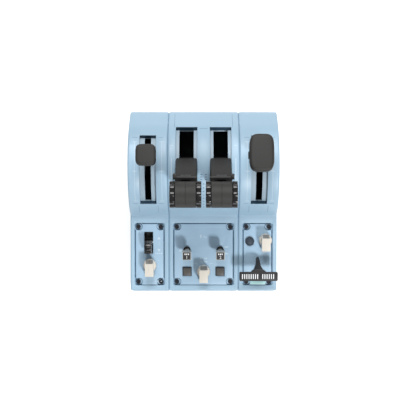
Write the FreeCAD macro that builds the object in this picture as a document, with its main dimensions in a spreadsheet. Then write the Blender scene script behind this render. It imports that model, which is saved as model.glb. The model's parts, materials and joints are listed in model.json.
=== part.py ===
import FreeCAD, Part
import os
import re

import Sketcher
from FreeCAD import Placement, Rotation, Vector

# A desk-top throttle quadrant: a centre unit with two thrust levers and, bolted to its flanks,
# a speed-brake unit on the left and a flap unit on the right.  Millimetres.  +X is the user's
# right, +Y points away from the user and +Z is up; the origin is the middle of the footprint.

doc = FreeCAD.newDocument("ThrottleQuadrant")
sheet = doc.addObject("Spreadsheet::Sheet", "Sizes")

SIZES = {
    # Housings, as seen from the side: a sloped control deck in front of a drum.
    "centre_width": 81.0,
    "side_width": 45.0,
    "front_reach": 104.0,
    "front_height": 40.0,
    "panel_slope": 9.0,
    "drum_axis_y": 43.0,
    "drum_axis_z": 42.0,
    "drum_radius": 61.0,
    "rear_lean": 45.0,
    "rear_round": 16.0,
    "wall_thickness": 2.5,
    "deck_thickness": 5.0,
    "edge_round": 2.2,
    "crease_radius": 2.5,
    "foot_height": 2.0,
    "foot_radius": 6.0,
    "foot_inset": 12.0,
    "tray_thickness": 3.0,
    "tray_gap": 0.15,
    "post_side": 8.0,
    "post_height": 13.0,
    # Control plates let into the sloped decks.
    "plate_front": 6.0,
    "plate_rear": 79.1,
    "plate_margin": 4.8,
    "plate_thickness": 2.0,
    "plate_sink": 0.5,
    "plate_gap": 0.7,
    "plate_corner": 3.0,
    "ledge_width": 3.0,
    "screw_inset_x": 4.6,
    "screw_inset_y": 4.4,
    "screw_corner": 8.2,
    "screw_radius": 1.5,
    "screw_head_radius": 2.6,
    "screw_head_height": 1.6,
    "screw_length": 7.0,
    "screw_socket": 2.0,
    "screw_gap": 0.05,
    "spot_face_radius": 3.8,
    "spot_face_round": 3.0,
    "spot_face_depth": 1.2,
    # Lever slots: a wide recess with a through slot in its floor.
    "slot_depth": 4.7,
    "guide_floor": 2.0,
    "guide_rim": 1.6,
    "guide_gap": 0.1,
    "slot_end_margin": 1.5,
    "thrust_inset": 21.2,
    "thrust_recess": 24.5,
    "thrust_slot": 16.4,
    "thrust_slot_front": 57.0,
    "thrust_slot_rear": 38.0,
    "side_recess": 18.6,
    "side_slot": 7.2,
    "side_slot_front": 54.0,
    "side_slot_rear": 26.0,
    # Axles, bearing stands and lever hubs.
    "axle_radius": 4.0,
    "axle_overhang": 2.5,
    "bore_gap": 0.05,
    "stand_thickness": 3.0,
    "stand_head": 8.5,
    "stand_half_foot": 22.0,
    "stand_shoulder": 20.0,
    "clip_thickness": 0.8,
    "clip_reach": 2.0,
    "clip_groove": 0.6,
    "hub_radius": 11.0,
    "washer_thickness": 0.6,
    "thrust_lean": -24.0,
    "thrust_blade": 15.0,
    "side_blade": 6.0,
    "side_blade_depth": 12.0,
    # Thrust lever arms and their drum-shaped grips.
    "arm_width": 23.5,
    "arm_floor_gap": 1.0,
    "arm_rear_angle": 23.5,
    "arm_front_angle": 8.0,
    "arm_shoulder_rise": 1.0,
    "arm_rise": 37.0,
    "arm_top_rear": 14.5,
    "arm_top_front": 9.0,
    "neck_width": 16.0,
    "neck_depth": 12.0,
    "grip_rise": 54.0,
    "grip_radius": 14.2,
    "grip_between": 4.6,
    "grip_ring": 5.6,
    "grip_ring_radius": 14.8,
    "grip_socket_depth": 8.0,
    "grip_socket_gap": 0.1,
    "release_radius": 5.4,
    "release_gap": 0.3,
    "release_stand": 0.3,
    "release_depth": 5.0,
    # Lift latches behind the thrust grips.
    "latch_near": 15.2,
    "latch_thickness": 2.6,
    "latch_rise": 45.0,
    "latch_height": 4.5,
    "latch_inner": 12.5,
    "latch_outer": 13.5,
    "latch_lip_width": 3.6,
    "latch_lip": 5.6,
    "latch_stem_width": 11.0,
    "latch_stem_near": 10.6,
    "latch_stem_thickness": 2.6,
    "latch_stem_rise": 23.0,
    "latch_travel": 4.0,
    "latch_gap": 0.35,
    # Speed-brake and flap levers.
    "speed_brake_lean": -1.0,
    "speed_knob_width": 22.3,
    "speed_knob_depth": 23.4,
    "speed_knob_rise": 23.0,
    "speed_knob_thickness": 12.0,
    "speed_knob_corner": 6.0,
    "flap_knob_width": 27.0,
    "flap_knob_depth": 41.0,
    "flap_knob_rise": 27.0,
    "flap_knob_thickness": 13.0,
    "flap_knob_corner": 9.0,
    "knob_socket_depth": 6.0,
    "collar_rise": 15.0,
    "collar_height": 6.0,
    "collar_width": 21.0,
    "collar_depth": 18.0,
    "collar_gap": 0.3,
    "collar_tab_reach": 13.8,
    "collar_tab_depth": 8.0,
    "collar_tab_height": 4.0,
    # Controls on the plates.
    "switch_run": 47.4,
    "switch_throw": 25.0,
    "switch_nut_radius": 4.4,
    "switch_nut_height": 2.2,
    "switch_stalk_radius": 1.5,
    "switch_stalk_length": 15.0,
    "switch_cap_side": 10.2,
    "switch_cap_height": 7.0,
    "key_run": 22.2,
    "key_side": 10.2,
    "key_height": 1.6,
    "key_gap": 0.3,
    "key_travel": 1.2,
    "mode_knob_run": 22.5,
    "brake_knob_x": 0.3,
    "brake_knob_run": 29.7,
    "trim_knob_x": 9.1,
    "trim_knob_run": 59.1,
    "knob_disc_radius": 7.75,
    "knob_disc_height": 6.0,
    "knob_bar_width": 9.0,
    "knob_bar_front": 11.5,
    "knob_bar_height": 17.5,
    "knob_bar_rear": 8.0,
    "knob_lift": 0.5,
    "knob_shaft_radius": 3.0,
    "gear_x": -1.2,
    "gear_run": 56.0,
    "gear_slot_width": 10.4,
    "gear_slot_length": 25.5,
    "gear_throw": 30.0,
    "gear_pivot_depth": 7.0,
    "gear_stalk_width": 4.0,
    "gear_wheel_radius": 7.4,
    "gear_wheel_width": 8.4,
    "gear_wheel_height": 10.5,
    "gear_ridge_radius": 1.1,
    "gear_ridge_count": 14.0,
    "push_x": -9.1,
    "push_run": 57.8,
    "push_radius": 3.6,
    "push_ring_radius": 5.3,
    "push_ring_height": 1.4,
    "push_height": 2.2,
    "handle_run": 36.8,
    "handle_stem_radius": 4.0,
    "handle_plate_width": 41.0,
    "handle_plate_depth": 10.4,
    "handle_plate_thickness": 3.0,
    "handle_height": 23.5,
    "handle_overhang": 17.5,
    # Inner works and joining parts.
    "board_thickness": 1.6,
    "board_lift": 6.0,
    "board_post_radius": 2.6,
    "module_depth": 11.0,
    "module_side": 13.0,
    "sensor_radius": 8.0,
    "sensor_depth": 3.8,
    "link_plate_width": 36.0,
    "link_plate_length": 26.0,
    "link_plate_thickness": 1.6,
    "inlet_width": 9.4,
    "inlet_height": 3.7,
    "inlet_depth": 8.0,
    "inlet_z": 16.0,
    "inlet_gap": 0.3,
    "cut_start": 2.0,
    "link_offset": 52.0,
    "washer_gap": 0.1,
    "clip_gap": 0.05,
    "sleeve_radius": 6.5,
    "arm_hub_width": 16.0,
    "side_hub_width": 10.0,
    "blade_depth": 14.0,
    "arm_round": 1.2,
    "grip_core_radius": 9.0,
    "grip_end_step": 0.8,
    "flute_radius": 2.4,
    "flute_count": 10.0,
    "latch_foot": 2.6,
    "latch_corner": 1.0,
    "flap_lean": 0.0,
    "knob_edge": 2.2,
    "collar_corner": 3.0,
    "switch_bush_radius": 3.6,
    "switch_ball_radius": 2.4,
    "switch_cap_corner": 0.8,
    "switch_cap_rim": 1.3,
    "switch_cap_sink": 0.5,
    "bush_depth": 7.0,
    "key_corner": 0.6,
    "knob_shaft_length": 8.0,
    "knob_bar_crest": 3.5,
    "gear_boss_radius": 3.4,
    "gear_pin_radius": 1.5,
    "handle_corner": 1.2,
    "handle_web_width": 6.0,
    "handle_stem_length": 8.0,
    "handle_web_back": 3.0,
    "handle_web_foot": 6.0,
    "handle_web_depth": 8.0,
    "handle_flare_round": 5.6,
    "handle_lap": 1.0,
    "nose_radius": 5.2,
    "sensor_gap": 0.2,
    "sensor_foot_depth": 5.0,
    "sensor_foot_gap": 0.6,
    "switch_pin_radius": 0.8,
    "switch_pin_length": 6.8,
    "board_side_gap": 2.0,
    "board_end_gap": 2.0,
    "board_length": 60.0,
}

# Sizes worked out from the ones above.
WORKED_OUT = {
    "deck_run_to_axis": "(front_reach + drum_axis_y) * cos(panel_slope)"
                        " + (drum_axis_z - front_height) * sin(panel_slope)",
    "deck_drop_to_axis": "(front_reach + drum_axis_y) * sin(panel_slope)"
                         " - (drum_axis_z - front_height) * cos(panel_slope)",
    "drum_inside": "drum_radius - wall_thickness",
    "rear_reach": "drum_axis_y + drum_radius",
    "rear_wall_top": "drum_axis_z + (drum_radius - rear_round) * (1 - sin(rear_lean)) / cos(rear_lean)",
    "side_offset": "(centre_width + side_width) / 2",
    "tray_top": "foot_height + tray_thickness",
    "recess_floor": "drum_radius - slot_depth",
    "guide_bottom": "recess_floor - guide_floor",
    "axle_bore": "axle_radius + bore_gap",
    "thrust_spacing": "centre_width - 2 * thrust_inset",
    "grip_length": "thrust_spacing - grip_between",
    "arm_bottom": "recess_floor + arm_floor_gap",
    "arm_shoulder": "drum_radius + arm_shoulder_rise",
    "arm_top": "drum_radius + arm_rise",
    "grip_height": "drum_radius + grip_rise",
    "latch_bottom": "drum_radius + latch_rise",
    "latch_foot_top": "grip_height - sqrt(grip_radius ^ 2 - latch_stem_near ^ 2)"
                      " - latch_travel - latch_gap",
    "latch_stem_bottom": "drum_radius + latch_stem_rise",
    "speed_knob_bottom": "drum_radius + speed_knob_rise",
    "speed_knob_top": "speed_knob_bottom + speed_knob_thickness",
    "flap_knob_bottom": "drum_radius + flap_knob_rise",
    "flap_knob_top": "flap_knob_bottom + flap_knob_thickness",
    "collar_bottom": "drum_radius + collar_rise",
    "switch_offset": "thrust_spacing / 2",
    "plate_top": "-plate_sink",
    "plate_bottom": "-plate_sink - plate_thickness",
    "screw_run_front": "plate_front + screw_inset_y",
    "screw_run_rear": "plate_rear - screw_inset_y",
}

for row, (alias, size) in enumerate(SIZES.items(), start=1):
    sheet.set("A%d" % row, str(size))
    sheet.setAlias("A%d" % row, alias)
doc.recompute()

SIZE_NAME = re.compile(r"[a-z][a-z0-9]*(?:_[a-z0-9]+)+")
X_AXIS = Vector(1, 0, 0)
PLANES = {"XY": "XY_Plane", "XZ": "XZ_Plane", "YZ": "YZ_Plane"}
ORIGIN = -1


def written_out(found):
    name = found.group(0)
    return "(" + WORKED_OUT[name] + ")" if name in WORKED_OUT else name


def tied(formula):
    """A formula of size names, in the form that an expression of the document takes."""
    text = str(formula)
    while any(name in WORKED_OUT for name in SIZE_NAME.findall(text)):
        text = SIZE_NAME.sub(written_out, text)
    return SIZE_NAME.sub(lambda found: "Sizes." + found.group(0), text)


def worth(formula):
    """The number that a formula of size names gives now."""
    return float(sheet.evalExpression(tied(formula)))


def place(thing, x="0", y="0", z="0", turn="0"):
    """Put an object at x, y, z, turned about X, all tied to the sheet."""
    thing.Placement = Placement(Vector(0, 0, 0), Rotation(X_AXIS, 1))
    for place_name, formula in (("Base.x", x), ("Base.y", y), ("Base.z", z), ("Rotation.Angle", turn)):
        thing.setExpression(".Placement." + place_name, tied(formula))
    return thing


def on_deck(thing, x, run, lift="0", turn="0"):
    """Put an object on the sloped deck: run is measured up the slope, lift square to it."""
    along = "(%s)" % run
    off = "(%s)" % lift
    return place(
        thing, x,
        "-front_reach + %s * cos(panel_slope) - %s * sin(panel_slope)" % (along, off),
        "front_height + %s * sin(panel_slope) + %s * cos(panel_slope)" % (along, off),
        "panel_slope + (%s)" % turn,
    )


def at_drum(thing, x, lean="0"):
    """Put an object on the drum's axis; its own Z points outwards, leaning to the rear by lean."""
    return place(thing, x, "drum_axis_y", "drum_axis_z", "-(%s)" % lean)


def new_body(name):
    return doc.addObject("PartDesign::Body", name)


def new_sketch(body, plane, raised="0", up="0", turn="0"):
    """A sketch on one of the body's own planes: raised along that plane's normal, moved up
    along the sketch's own Y, and turned about the sketch's own X."""
    made = body.newObject("Sketcher::SketchObject", body.Name + "_sketch")
    plane_feature = next(item for item in body.Origin.OriginFeatures if item.Role == PLANES[plane])
    made.AttachmentSupport = [(plane_feature, "")]
    made.MapMode = "FlatFace"
    made.AttachmentOffset = Placement(Vector(0, 0, 0), Rotation(X_AXIS, 1))
    made.setExpression(".AttachmentOffset.Base.z", tied(raised))
    made.setExpression(".AttachmentOffset.Base.y", tied(up))
    made.setExpression(".AttachmentOffset.Rotation.Angle", tied(turn))
    return made


def deck_sketch(body):
    """A sketch just above a housing's sloped deck, its own Y running up from the front edge."""
    return new_sketch(body, "XY", "front_height + cut_start * cos(panel_slope)",
                      "-front_reach - cut_start * sin(panel_slope)", "panel_slope")


def fix(sketch, kind, geometry, formula, point=None):
    """Give a sketch one driving size, tied to the sheet."""
    if point is None:
        number = sketch.addConstraint(Sketcher.Constraint(kind, geometry, worth(formula)))
    else:
        number = sketch.addConstraint(
            Sketcher.Constraint(kind, ORIGIN, 1, geometry, point, worth(formula)))
    sketch.setExpression("Constraints[%d]" % number, tied(formula))


def outline(sketch, corners, arcs=None):
    """Draw a closed outline.  arcs holds, for the side after a corner, (radius, centre, turn):
    turn is +1 where the side runs anticlockwise about the centre and -1 where it runs clockwise."""
    arcs = arcs or {}
    points = [Vector(worth(x), worth(y), 0) for x, y in corners]
    starts = []
    ends = []
    for index, start in enumerate(points):
        end = points[(index + 1) % len(points)]
        if index in arcs:
            radius, centre, turn = arcs[index]
            middle = Vector(worth(centre[0]), worth(centre[1]), 0)
            circle = Part.Circle(middle, Vector(0, 0, 1), worth(radius))
            first, last = (start, end) if turn > 0 else (end, start)
            arc = Part.ArcOfCircle(circle, circle.parameter(first), circle.parameter(last))
            side = sketch.addGeometry(arc, False)
            fix(sketch, "Radius", side, radius)
            starts.append((side, 1 if turn > 0 else 2))
            ends.append((side, 2 if turn > 0 else 1))
        else:
            side = sketch.addGeometry(Part.LineSegment(start, end), False)
            starts.append((side, 1))
            ends.append((side, 2))
    for index, (x, y) in enumerate(corners):
        sketch.addConstraint(Sketcher.Constraint("Coincident", *ends[index - 1], *starts[index]))
        side, point = starts[index]
        fix(sketch, "DistanceX", side, x, point)
        fix(sketch, "DistanceY", side, y, point)


def rectangle(sketch, left, right, low, high, corner=None):
    """Draw a rectangle, with rounded corners where corner is given."""
    if corner is None:
        outline(sketch, [(left, low), (right, low), (right, high), (left, high)])
        return
    west, east = "%s + %s" % (left, corner), "%s - (%s)" % (right, corner)
    south, north = "%s + %s" % (low, corner), "%s - (%s)" % (high, corner)
    outline(
        sketch,
        [(west, low), (east, low), (right, south), (right, north),
         (east, high), (west, high), (left, north), (left, south)],
        {1: (corner, (east, south), 1), 3: (corner, (east, north), 1),
         5: (corner, (west, north), 1), 7: (corner, (west, south), 1)},
    )


def circle(sketch, x, y, radius):
    side = sketch.addGeometry(
        Part.Circle(Vector(worth(x), worth(y), 0), Vector(0, 0, 1), worth(radius)), False)
    fix(sketch, "Radius", side, radius)
    fix(sketch, "DistanceX", side, x, 3)
    fix(sketch, "DistanceY", side, y, 3)


def feature(body, kind, sketch, settings, formulas):
    made = body.newObject("PartDesign::" + kind, body.Name + "_" + kind.lower())
    made.Profile = sketch
    for name, setting in settings.items():
        setattr(made, name, setting)
    for name, formula in formulas.items():
        made.setExpression(name, tied(formula))
    sketch.Visibility = False
    doc.recompute()
    return made


def pad(body, sketch, length, both_ways=False, downwards=False):
    settings = {"Reversed": downwards, "SideType": "Symmetric" if both_ways else "One side"}
    return feature(body, "Pad", sketch, settings, {"Length": length})


def pocket(body, sketch, depth, both_ways=False, upwards=False):
    """Cut a sketch into the body, against its plane's normal unless upwards is set."""
    before = body.Shape.Volume
    settings = {"Reversed": upwards, "SideType": "Symmetric" if both_ways else "One side"}
    made = feature(body, "Pocket", sketch, settings, {"Length": depth})
    if not made.Shape.Volume < before - 1e-3:
        raise ValueError(body.Name + ": a pocket points away from the solid")
    return made


def turned(body, sketch, angle="360", cut=False, axis="H_Axis"):
    """Revolve, or with cut set groove, a sketch about its own X (H_Axis) or Y (V_Axis)."""
    before = body.Shape.Volume if cut else 0
    settings = {"ReferenceAxis": (sketch, [axis])}
    made = feature(body, "Groove" if cut else "Revolution", sketch, settings, {"Angle": angle})
    if cut and not made.Shape.Volume < before - 1e-3:
        raise ValueError(body.Name + ": a groove misses the solid")
    return made


def rounded(body, wanted, radius, kind="Fillet"):
    """Fillet or chamfer the edges of the body for which wanted(edge) holds."""
    base = body.Tip
    names = ["Edge%d" % number for number, edge in enumerate(base.Shape.Edges, start=1) if wanted(edge)]
    made = body.newObject("PartDesign::" + kind, body.Name + "_" + kind.lower())
    made.Base = (base, names)
    made.setExpression("Radius" if kind == "Fillet" else "Size", tied(radius))
    doc.recompute()
    return made


def near(number, target):
    return abs(number - target) < 0.01


def group(name, members):
    """One node that holds several separate solids."""
    made = doc.addObject("Part::Compound", name)
    made.Links = members
    return made


NODES = []


def node(thing, name=None):
    """Hand an object over as a sub-part under its own label."""
    if name:
        thing.Label = name
    NODES.append(thing)
    return thing


# ---------------------------------------------------------------- housings and their trays

UNITS = {
    "centre": {"width": "centre_width", "x": "0", "slots": ("-thrust_spacing / 2", "thrust_spacing / 2"),
               "recess": "thrust_recess", "slot": "thrust_slot",
               "front": "thrust_slot_front", "rear": "thrust_slot_rear"},
    "left": {"width": "side_width", "x": "-side_offset", "slots": ("0",), "recess": "side_recess",
             "slot": "side_slot", "front": "side_slot_front", "rear": "side_slot_rear"},
    "right": {"width": "side_width", "x": "side_offset", "slots": ("0",), "recess": "side_recess",
              "slot": "side_slot", "front": "side_slot_front", "rear": "side_slot_rear"},
}


def housing_profile(sketch, inset, deck, crease, low):
    """The side view of a housing, drawn inset from its outer walls; deck is the inset there and
    crease the radius of the hollow where the deck meets the drum. Past rear_lean the drum runs on
    straight and then rounds down into the upright rear wall."""
    wall = "-front_reach + (%s)" % inset
    top = "front_height + (%s) * tan(panel_slope) - (%s) / cos(panel_slope)" % (inset, deck)
    radius = "(drum_radius - (%s))" % inset
    reach = "(%s + %s)" % (radius, crease)
    run = "(deck_run_to_axis - sqrt(%s ^ 2 - (deck_drop_to_axis - (%s) + %s) ^ 2))" % (reach, deck, crease)
    foot_y = "(-front_reach + (%s) * sin(panel_slope) + %s * cos(panel_slope))" % (deck, run)
    foot_z = "(front_height - (%s) * cos(panel_slope) + %s * sin(panel_slope))" % (deck, run)
    centre_y = "(%s - %s * sin(panel_slope))" % (foot_y, crease)
    centre_z = "(%s + %s * cos(panel_slope))" % (foot_z, crease)
    touch_y = "drum_axis_y + (%s - drum_axis_y) * %s / %s" % (centre_y, radius, reach)
    touch_z = "drum_axis_z + (%s - drum_axis_z) * %s / %s" % (centre_z, radius, reach)
    leave = ("drum_axis_y + %s * sin(rear_lean)" % radius, "drum_axis_z + %s * cos(rear_lean)" % radius)
    rear = "(drum_axis_y + %s)" % radius
    bend = "(rear_round - (%s))" % inset
    bend_centre = ("(%s - %s)" % (rear, bend), "rear_wall_top")
    bend_start = ("%s + %s * sin(rear_lean)" % (bend_centre[0], bend),
                  "rear_wall_top + %s * cos(rear_lean)" % bend)
    outline(
        sketch,
        [(wall, low), (wall, top), (foot_y, foot_z), (touch_y, touch_z), leave, bend_start,
         (rear, "rear_wall_top"), (rear, low)],
        {2: (crease, (centre_y, centre_z), 1), 3: (radius, ("drum_axis_y", "drum_axis_z"), -1),
         5: (bend, bend_centre, -1)},
    )


def four_corners(half_x, low_y, high_y):
    return [(sign + half_x, y) for sign in ("-", "") for y in (low_y, high_y)]


def plate_screw_places(width):
    return four_corners("(%s / 2 - plate_margin - screw_inset_x)" % width,
                        "screw_run_front", "screw_run_rear")


def tray_screw_places(width):
    return four_corners("(%s / 2 - wall_thickness - post_side / 2)" % width,
                        "(-front_reach + wall_thickness + post_side / 2)",
                        "(rear_reach - wall_thickness - post_side / 2)")


def housing(name, unit):
    width = unit["width"]
    shell = new_body(name)
    side = new_sketch(shell, "YZ")
    housing_profile(side, "0", "0", "crease_radius", "foot_height")
    pad(shell, side, width, both_ways=True)
    half = worth(width) / 2
    low = worth("foot_height")
    front = -worth("front_reach")

    def outer_edge(edge):
        box = edge.BoundBox
        if box.ZMax < low + 0.01:
            return False
        flank = near(abs(box.XMin), half) and near(box.XMin, box.XMax)
        brow = near(box.YMin, front) and near(box.YMax, front) and near(box.ZMin, box.ZMax)
        return flank or brow

    rounded(shell, outer_edge, "edge_round")
    inside = new_sketch(shell, "YZ")
    housing_profile(inside, "wall_thickness", "deck_thickness",
                    "(crease_radius + wall_thickness)", "foot_height - 1")
    pocket(shell, inside, "(%s) - 2 * wall_thickness" % width, both_ways=True)

    # Corner posts that take the tray's screws.
    posts = new_sketch(shell, "XY", "tray_top")
    for x, y in tray_screw_places(width):
        rectangle(posts, x + " - post_side / 2", x + " + post_side / 2",
                  y + " - post_side / 2", y + " + post_side / 2")
    pad(shell, posts, "post_height")
    holes = new_sketch(shell, "XY", "tray_top")
    for x, y in tray_screw_places(width):
        circle(holes, x, y, "screw_radius + screw_gap")
    pocket(shell, holes, "post_height - 2", upwards=True)

    # Seat of the control plate, its cross-shaped opening and its screw holes.
    margin = "(%s / 2 - plate_margin)" % width
    seat = deck_sketch(shell)
    rectangle(seat, "-" + margin, margin, "plate_front", "plate_rear", "plate_corner")
    pocket(shell, seat, "cut_start + plate_sink + plate_thickness")
    for inset_x, inset_y in (("screw_corner", "ledge_width"), ("ledge_width", "screw_corner")):
        opening = deck_sketch(shell)
        rectangle(opening, "-%s + %s" % (margin, inset_x), "%s - %s" % (margin, inset_x),
                  "plate_front + " + inset_y, "plate_rear - " + inset_y)
        pocket(shell, opening, "cut_start + deck_thickness + 1")
    holes = deck_sketch(shell)
    for x, run in plate_screw_places(width):
        circle(holes, x, run, "screw_radius + screw_gap")
    pocket(shell, holes, "cut_start + deck_thickness + 1")

    # Openings in the drum for the slot guides.
    for x in unit["slots"]:
        mouth = new_sketch(shell, "XZ", "-drum_axis_y", "drum_axis_z", "-(%s)" % unit["rear"])
        rectangle(mouth, "%s - %s / 2" % (x, unit["recess"]), "%s + %s / 2" % (x, unit["recess"]),
                  "drum_inside - 1", "drum_radius + 1")
        turned(shell, mouth, "%s + %s" % (unit["front"], unit["rear"]), cut=True)
    if name.startswith("centre"):
        inlet = new_sketch(shell, "XZ", "-rear_reach", "inlet_z")
        rectangle(inlet, "-inlet_width / 2", "inlet_width / 2", "-inlet_height / 2",
                  "inlet_height / 2", "inlet_height / 2 - 0.05")
        pocket(shell, inlet, "wall_thickness + 1", upwards=True)
    return node(place(shell, unit["x"]))


def base_tray(name, unit):
    width = unit["width"]
    tray = new_body(name)
    floor = new_sketch(tray, "XY", "foot_height")
    half = "(%s / 2 - wall_thickness - tray_gap)" % width
    rectangle(floor, "-" + half, half, "-front_reach + wall_thickness + tray_gap",
              "rear_reach - wall_thickness - tray_gap")
    pad(tray, floor, "tray_thickness")
    holes = new_sketch(tray, "XY", "foot_height")
    for x, y in tray_screw_places(width):
        circle(holes, x, y, "screw_radius + screw_gap")
    pocket(tray, holes, "tray_thickness", upwards=True)
    sinks = new_sketch(tray, "XY", "foot_height")
    for x, y in tray_screw_places(width):
        circle(sinks, x, y, "screw_head_radius + 0.2")
    pocket(tray, sinks, "screw_head_height + 0.1", upwards=True)
    return node(place(tray, unit["x"]))


def slot_guide(name, unit, x):
    """The channel under a drum slot: floor, side rims and end walls, curved with the drum."""
    guide = new_body(name)
    half = "(%s / 2 + guide_rim)" % unit["recess"]
    block = new_sketch(guide, "XZ")
    rectangle(block, "-" + half, half, "guide_bottom", "drum_inside - guide_gap")
    sweep = "%s + %s" % (unit["front"], unit["rear"])
    turned(guide, block, sweep + " + 2 * slot_end_margin")
    for width, low, high in ((unit["recess"], "recess_floor", "drum_radius"),
                             (unit["slot"], "guide_bottom - 1", "recess_floor + 1")):
        cut = new_sketch(guide, "XZ", turn="slot_end_margin")
        rectangle(cut, "-%s / 2" % width, "%s / 2" % width, low, high)
        turned(guide, cut, sweep, cut=True)
    return node(at_drum(guide, x, unit["rear"] + " + slot_end_margin"))


def control_plate(name, unit, holes):
    """A control plate: holes is a list of functions that draw each hole of one depth."""
    plate = new_body(name)
    width = unit["width"]
    half = "(%s / 2 - plate_margin - plate_gap)" % width
    blank = new_sketch(plate, "XY", "plate_bottom")
    rectangle(blank, "-" + half, half, "plate_front + plate_gap", "plate_rear - plate_gap", "plate_corner")
    pad(plate, blank, "plate_thickness")
    corners = new_sketch(plate, "XY", "plate_top")
    inner = "(%s / 2 - plate_margin - screw_inset_x - spot_face_radius)" % width
    for left, right in (("-%s / 2" % width, "-" + inner), (inner, "%s / 2" % width)):
        rectangle(corners, left, right, "plate_front - spot_face_radius",
                  "screw_run_front + spot_face_radius", "spot_face_round")
        rectangle(corners, left, right, "screw_run_rear - spot_face_radius",
                  "plate_rear + spot_face_radius", "spot_face_round")
    pocket(plate, corners, "spot_face_depth")
    through = new_sketch(plate, "XY", "plate_top")
    for x, run in plate_screw_places(width):
        circle(through, x, run, "screw_radius + screw_gap")
    for draw in holes:
        draw(through)
    pocket(plate, through, "plate_thickness + 1")
    return node(on_deck(plate, unit["x"], "0"))


def screw(name, length):
    """A socket-head screw, point down, with the underside of its head at its own origin."""
    made = new_body(name)
    side = new_sketch(made, "XZ")
    outline(side, [("0", "-(%s)" % length), ("screw_radius", "-(%s)" % length), ("screw_radius", "0"),
                   ("screw_head_radius", "0"), ("screw_head_radius", "screw_head_height"),
                   ("0", "screw_head_height")])
    turned(made, side, axis="V_Axis")
    socket = new_sketch(made, "XY", "screw_head_height")
    rectangle(socket, "-screw_socket / 2", "screw_socket / 2", "-screw_socket / 2", "screw_socket / 2")
    pocket(made, socket, "screw_head_height / 2")
    return made


for unit_name, unit in UNITS.items():
    housing(unit_name + "_housing", unit)
    base_tray(unit_name + "_base_tray", unit)

for number, x in enumerate(UNITS["centre"]["slots"], start=1):
    slot_guide("thrust_slot_guide_%d" % number, UNITS["centre"], x)
slot_guide("speed_brake_slot_guide", UNITS["left"], UNITS["left"]["x"])
slot_guide("flap_slot_guide", UNITS["right"], UNITS["right"]["x"])


def square_hole(x, run, side):
    return lambda sketch: rectangle(sketch, "%s - %s / 2" % (x, side), "%s + %s / 2" % (x, side),
                                    "%s - %s / 2" % (run, side), "%s + %s / 2" % (run, side))


def round_hole(x, run, radius):
    return lambda sketch: circle(sketch, x, run, radius)


def slot_hole(x, run, width, length):
    return lambda sketch: rectangle(sketch, "%s - %s / 2" % (x, width), "%s + %s / 2" % (x, width),
                                    "%s - %s / 2" % (run, length), "%s + %s / 2" % (run, length))


BUSH_HOLE = "switch_bush_radius + screw_gap"
SHAFT_HOLE = "knob_shaft_radius + screw_gap"
KEY_HOLE = "(key_side + 2 * key_gap)"

control_plate("centre_control_plate", UNITS["centre"], [
    round_hole("-switch_offset", "switch_run", BUSH_HOLE),
    round_hole("switch_offset", "switch_run", BUSH_HOLE),
    square_hole("-switch_offset", "key_run", KEY_HOLE),
    square_hole("switch_offset", "key_run", KEY_HOLE),
    round_hole("0", "mode_knob_run", SHAFT_HOLE),
])
control_plate("left_control_plate", UNITS["left"], [
    slot_hole("gear_x", "gear_run", "gear_slot_width", "gear_slot_length"),
    round_hole("brake_knob_x", "brake_knob_run", SHAFT_HOLE),
])
control_plate("right_control_plate", UNITS["right"], [
    round_hole("push_x", "push_run", "push_radius + key_gap"),
    round_hole("trim_knob_x", "trim_knob_run", SHAFT_HOLE),
    round_hole("0", "handle_run", "handle_stem_radius + screw_gap"),
])

plate_screws = []
tray_screws = []
for unit_name, unit in UNITS.items():
    for corner, (x, run) in enumerate(plate_screw_places(unit["width"])):
        one = screw("%s_plate_screw_%d" % (unit_name, corner), "plate_thickness + deck_thickness / 2")
        on_deck(one, "%s + %s" % (unit["x"], x), run, "plate_top - spot_face_depth")
        plate_screws.append(one)
    for corner, (x, y) in enumerate(tray_screw_places(unit["width"])):
        one = screw("%s_tray_screw_%d" % (unit_name, corner), "screw_length")
        place(one, "%s + %s" % (unit["x"], x), y, "foot_height + screw_head_height", "180")
        tray_screws.append(one)
node(group("plate_screws", plate_screws))
node(group("tray_screws", tray_screws))

feet = []
for unit_name, unit in UNITS.items():
    inner_x = "(%s / 2 - foot_inset)" % unit["width"]
    for corner, (x, y) in enumerate(four_corners(inner_x, "(-front_reach + 2 * foot_inset)",
                                                 "(rear_reach - 2 * foot_inset)")):
        foot = new_body("%s_foot_%d" % (unit_name, corner))
        disc = new_sketch(foot, "XY")
        circle(disc, "0", "0", "foot_radius")
        pad(foot, disc, "foot_height")
        feet.append(place(foot, "%s + %s" % (unit["x"], x), y))
node(group("rubber_feet", feet))


# ---------------------------------------------------------------- axles, stands and washers

def ring(name, inner, outer, thickness):
    """A flat ring about X, centred on its own origin."""
    made = new_body(name)
    face = new_sketch(made, "YZ")
    circle(face, "0", "0", outer)
    circle(face, "0", "0", inner)
    pad(made, face, thickness, both_ways=True)
    return made


def bearing_stand(name, x):
    """An upright that stands on the tray and carries an axle in its rounded head."""
    stand = new_body(name)
    side = new_sketch(stand, "YZ")
    outline(
        side,
        [("drum_axis_y - stand_half_foot", "tray_top"), ("drum_axis_y + stand_half_foot", "tray_top"),
         ("drum_axis_y + stand_head * cos(stand_shoulder)", "drum_axis_z + stand_head * sin(stand_shoulder)"),
         ("drum_axis_y - stand_head * cos(stand_shoulder)",
          "drum_axis_z + stand_head * sin(stand_shoulder)")],
        {2: ("stand_head", ("drum_axis_y", "drum_axis_z"), 1)},
    )
    pad(stand, side, "stand_thickness", both_ways=True)
    bore = new_sketch(stand, "YZ")
    circle(bore, "drum_axis_y", "drum_axis_z", "axle_bore")
    pocket(stand, bore, "2 * stand_thickness", both_ways=True)
    return place(stand, x)


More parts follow.
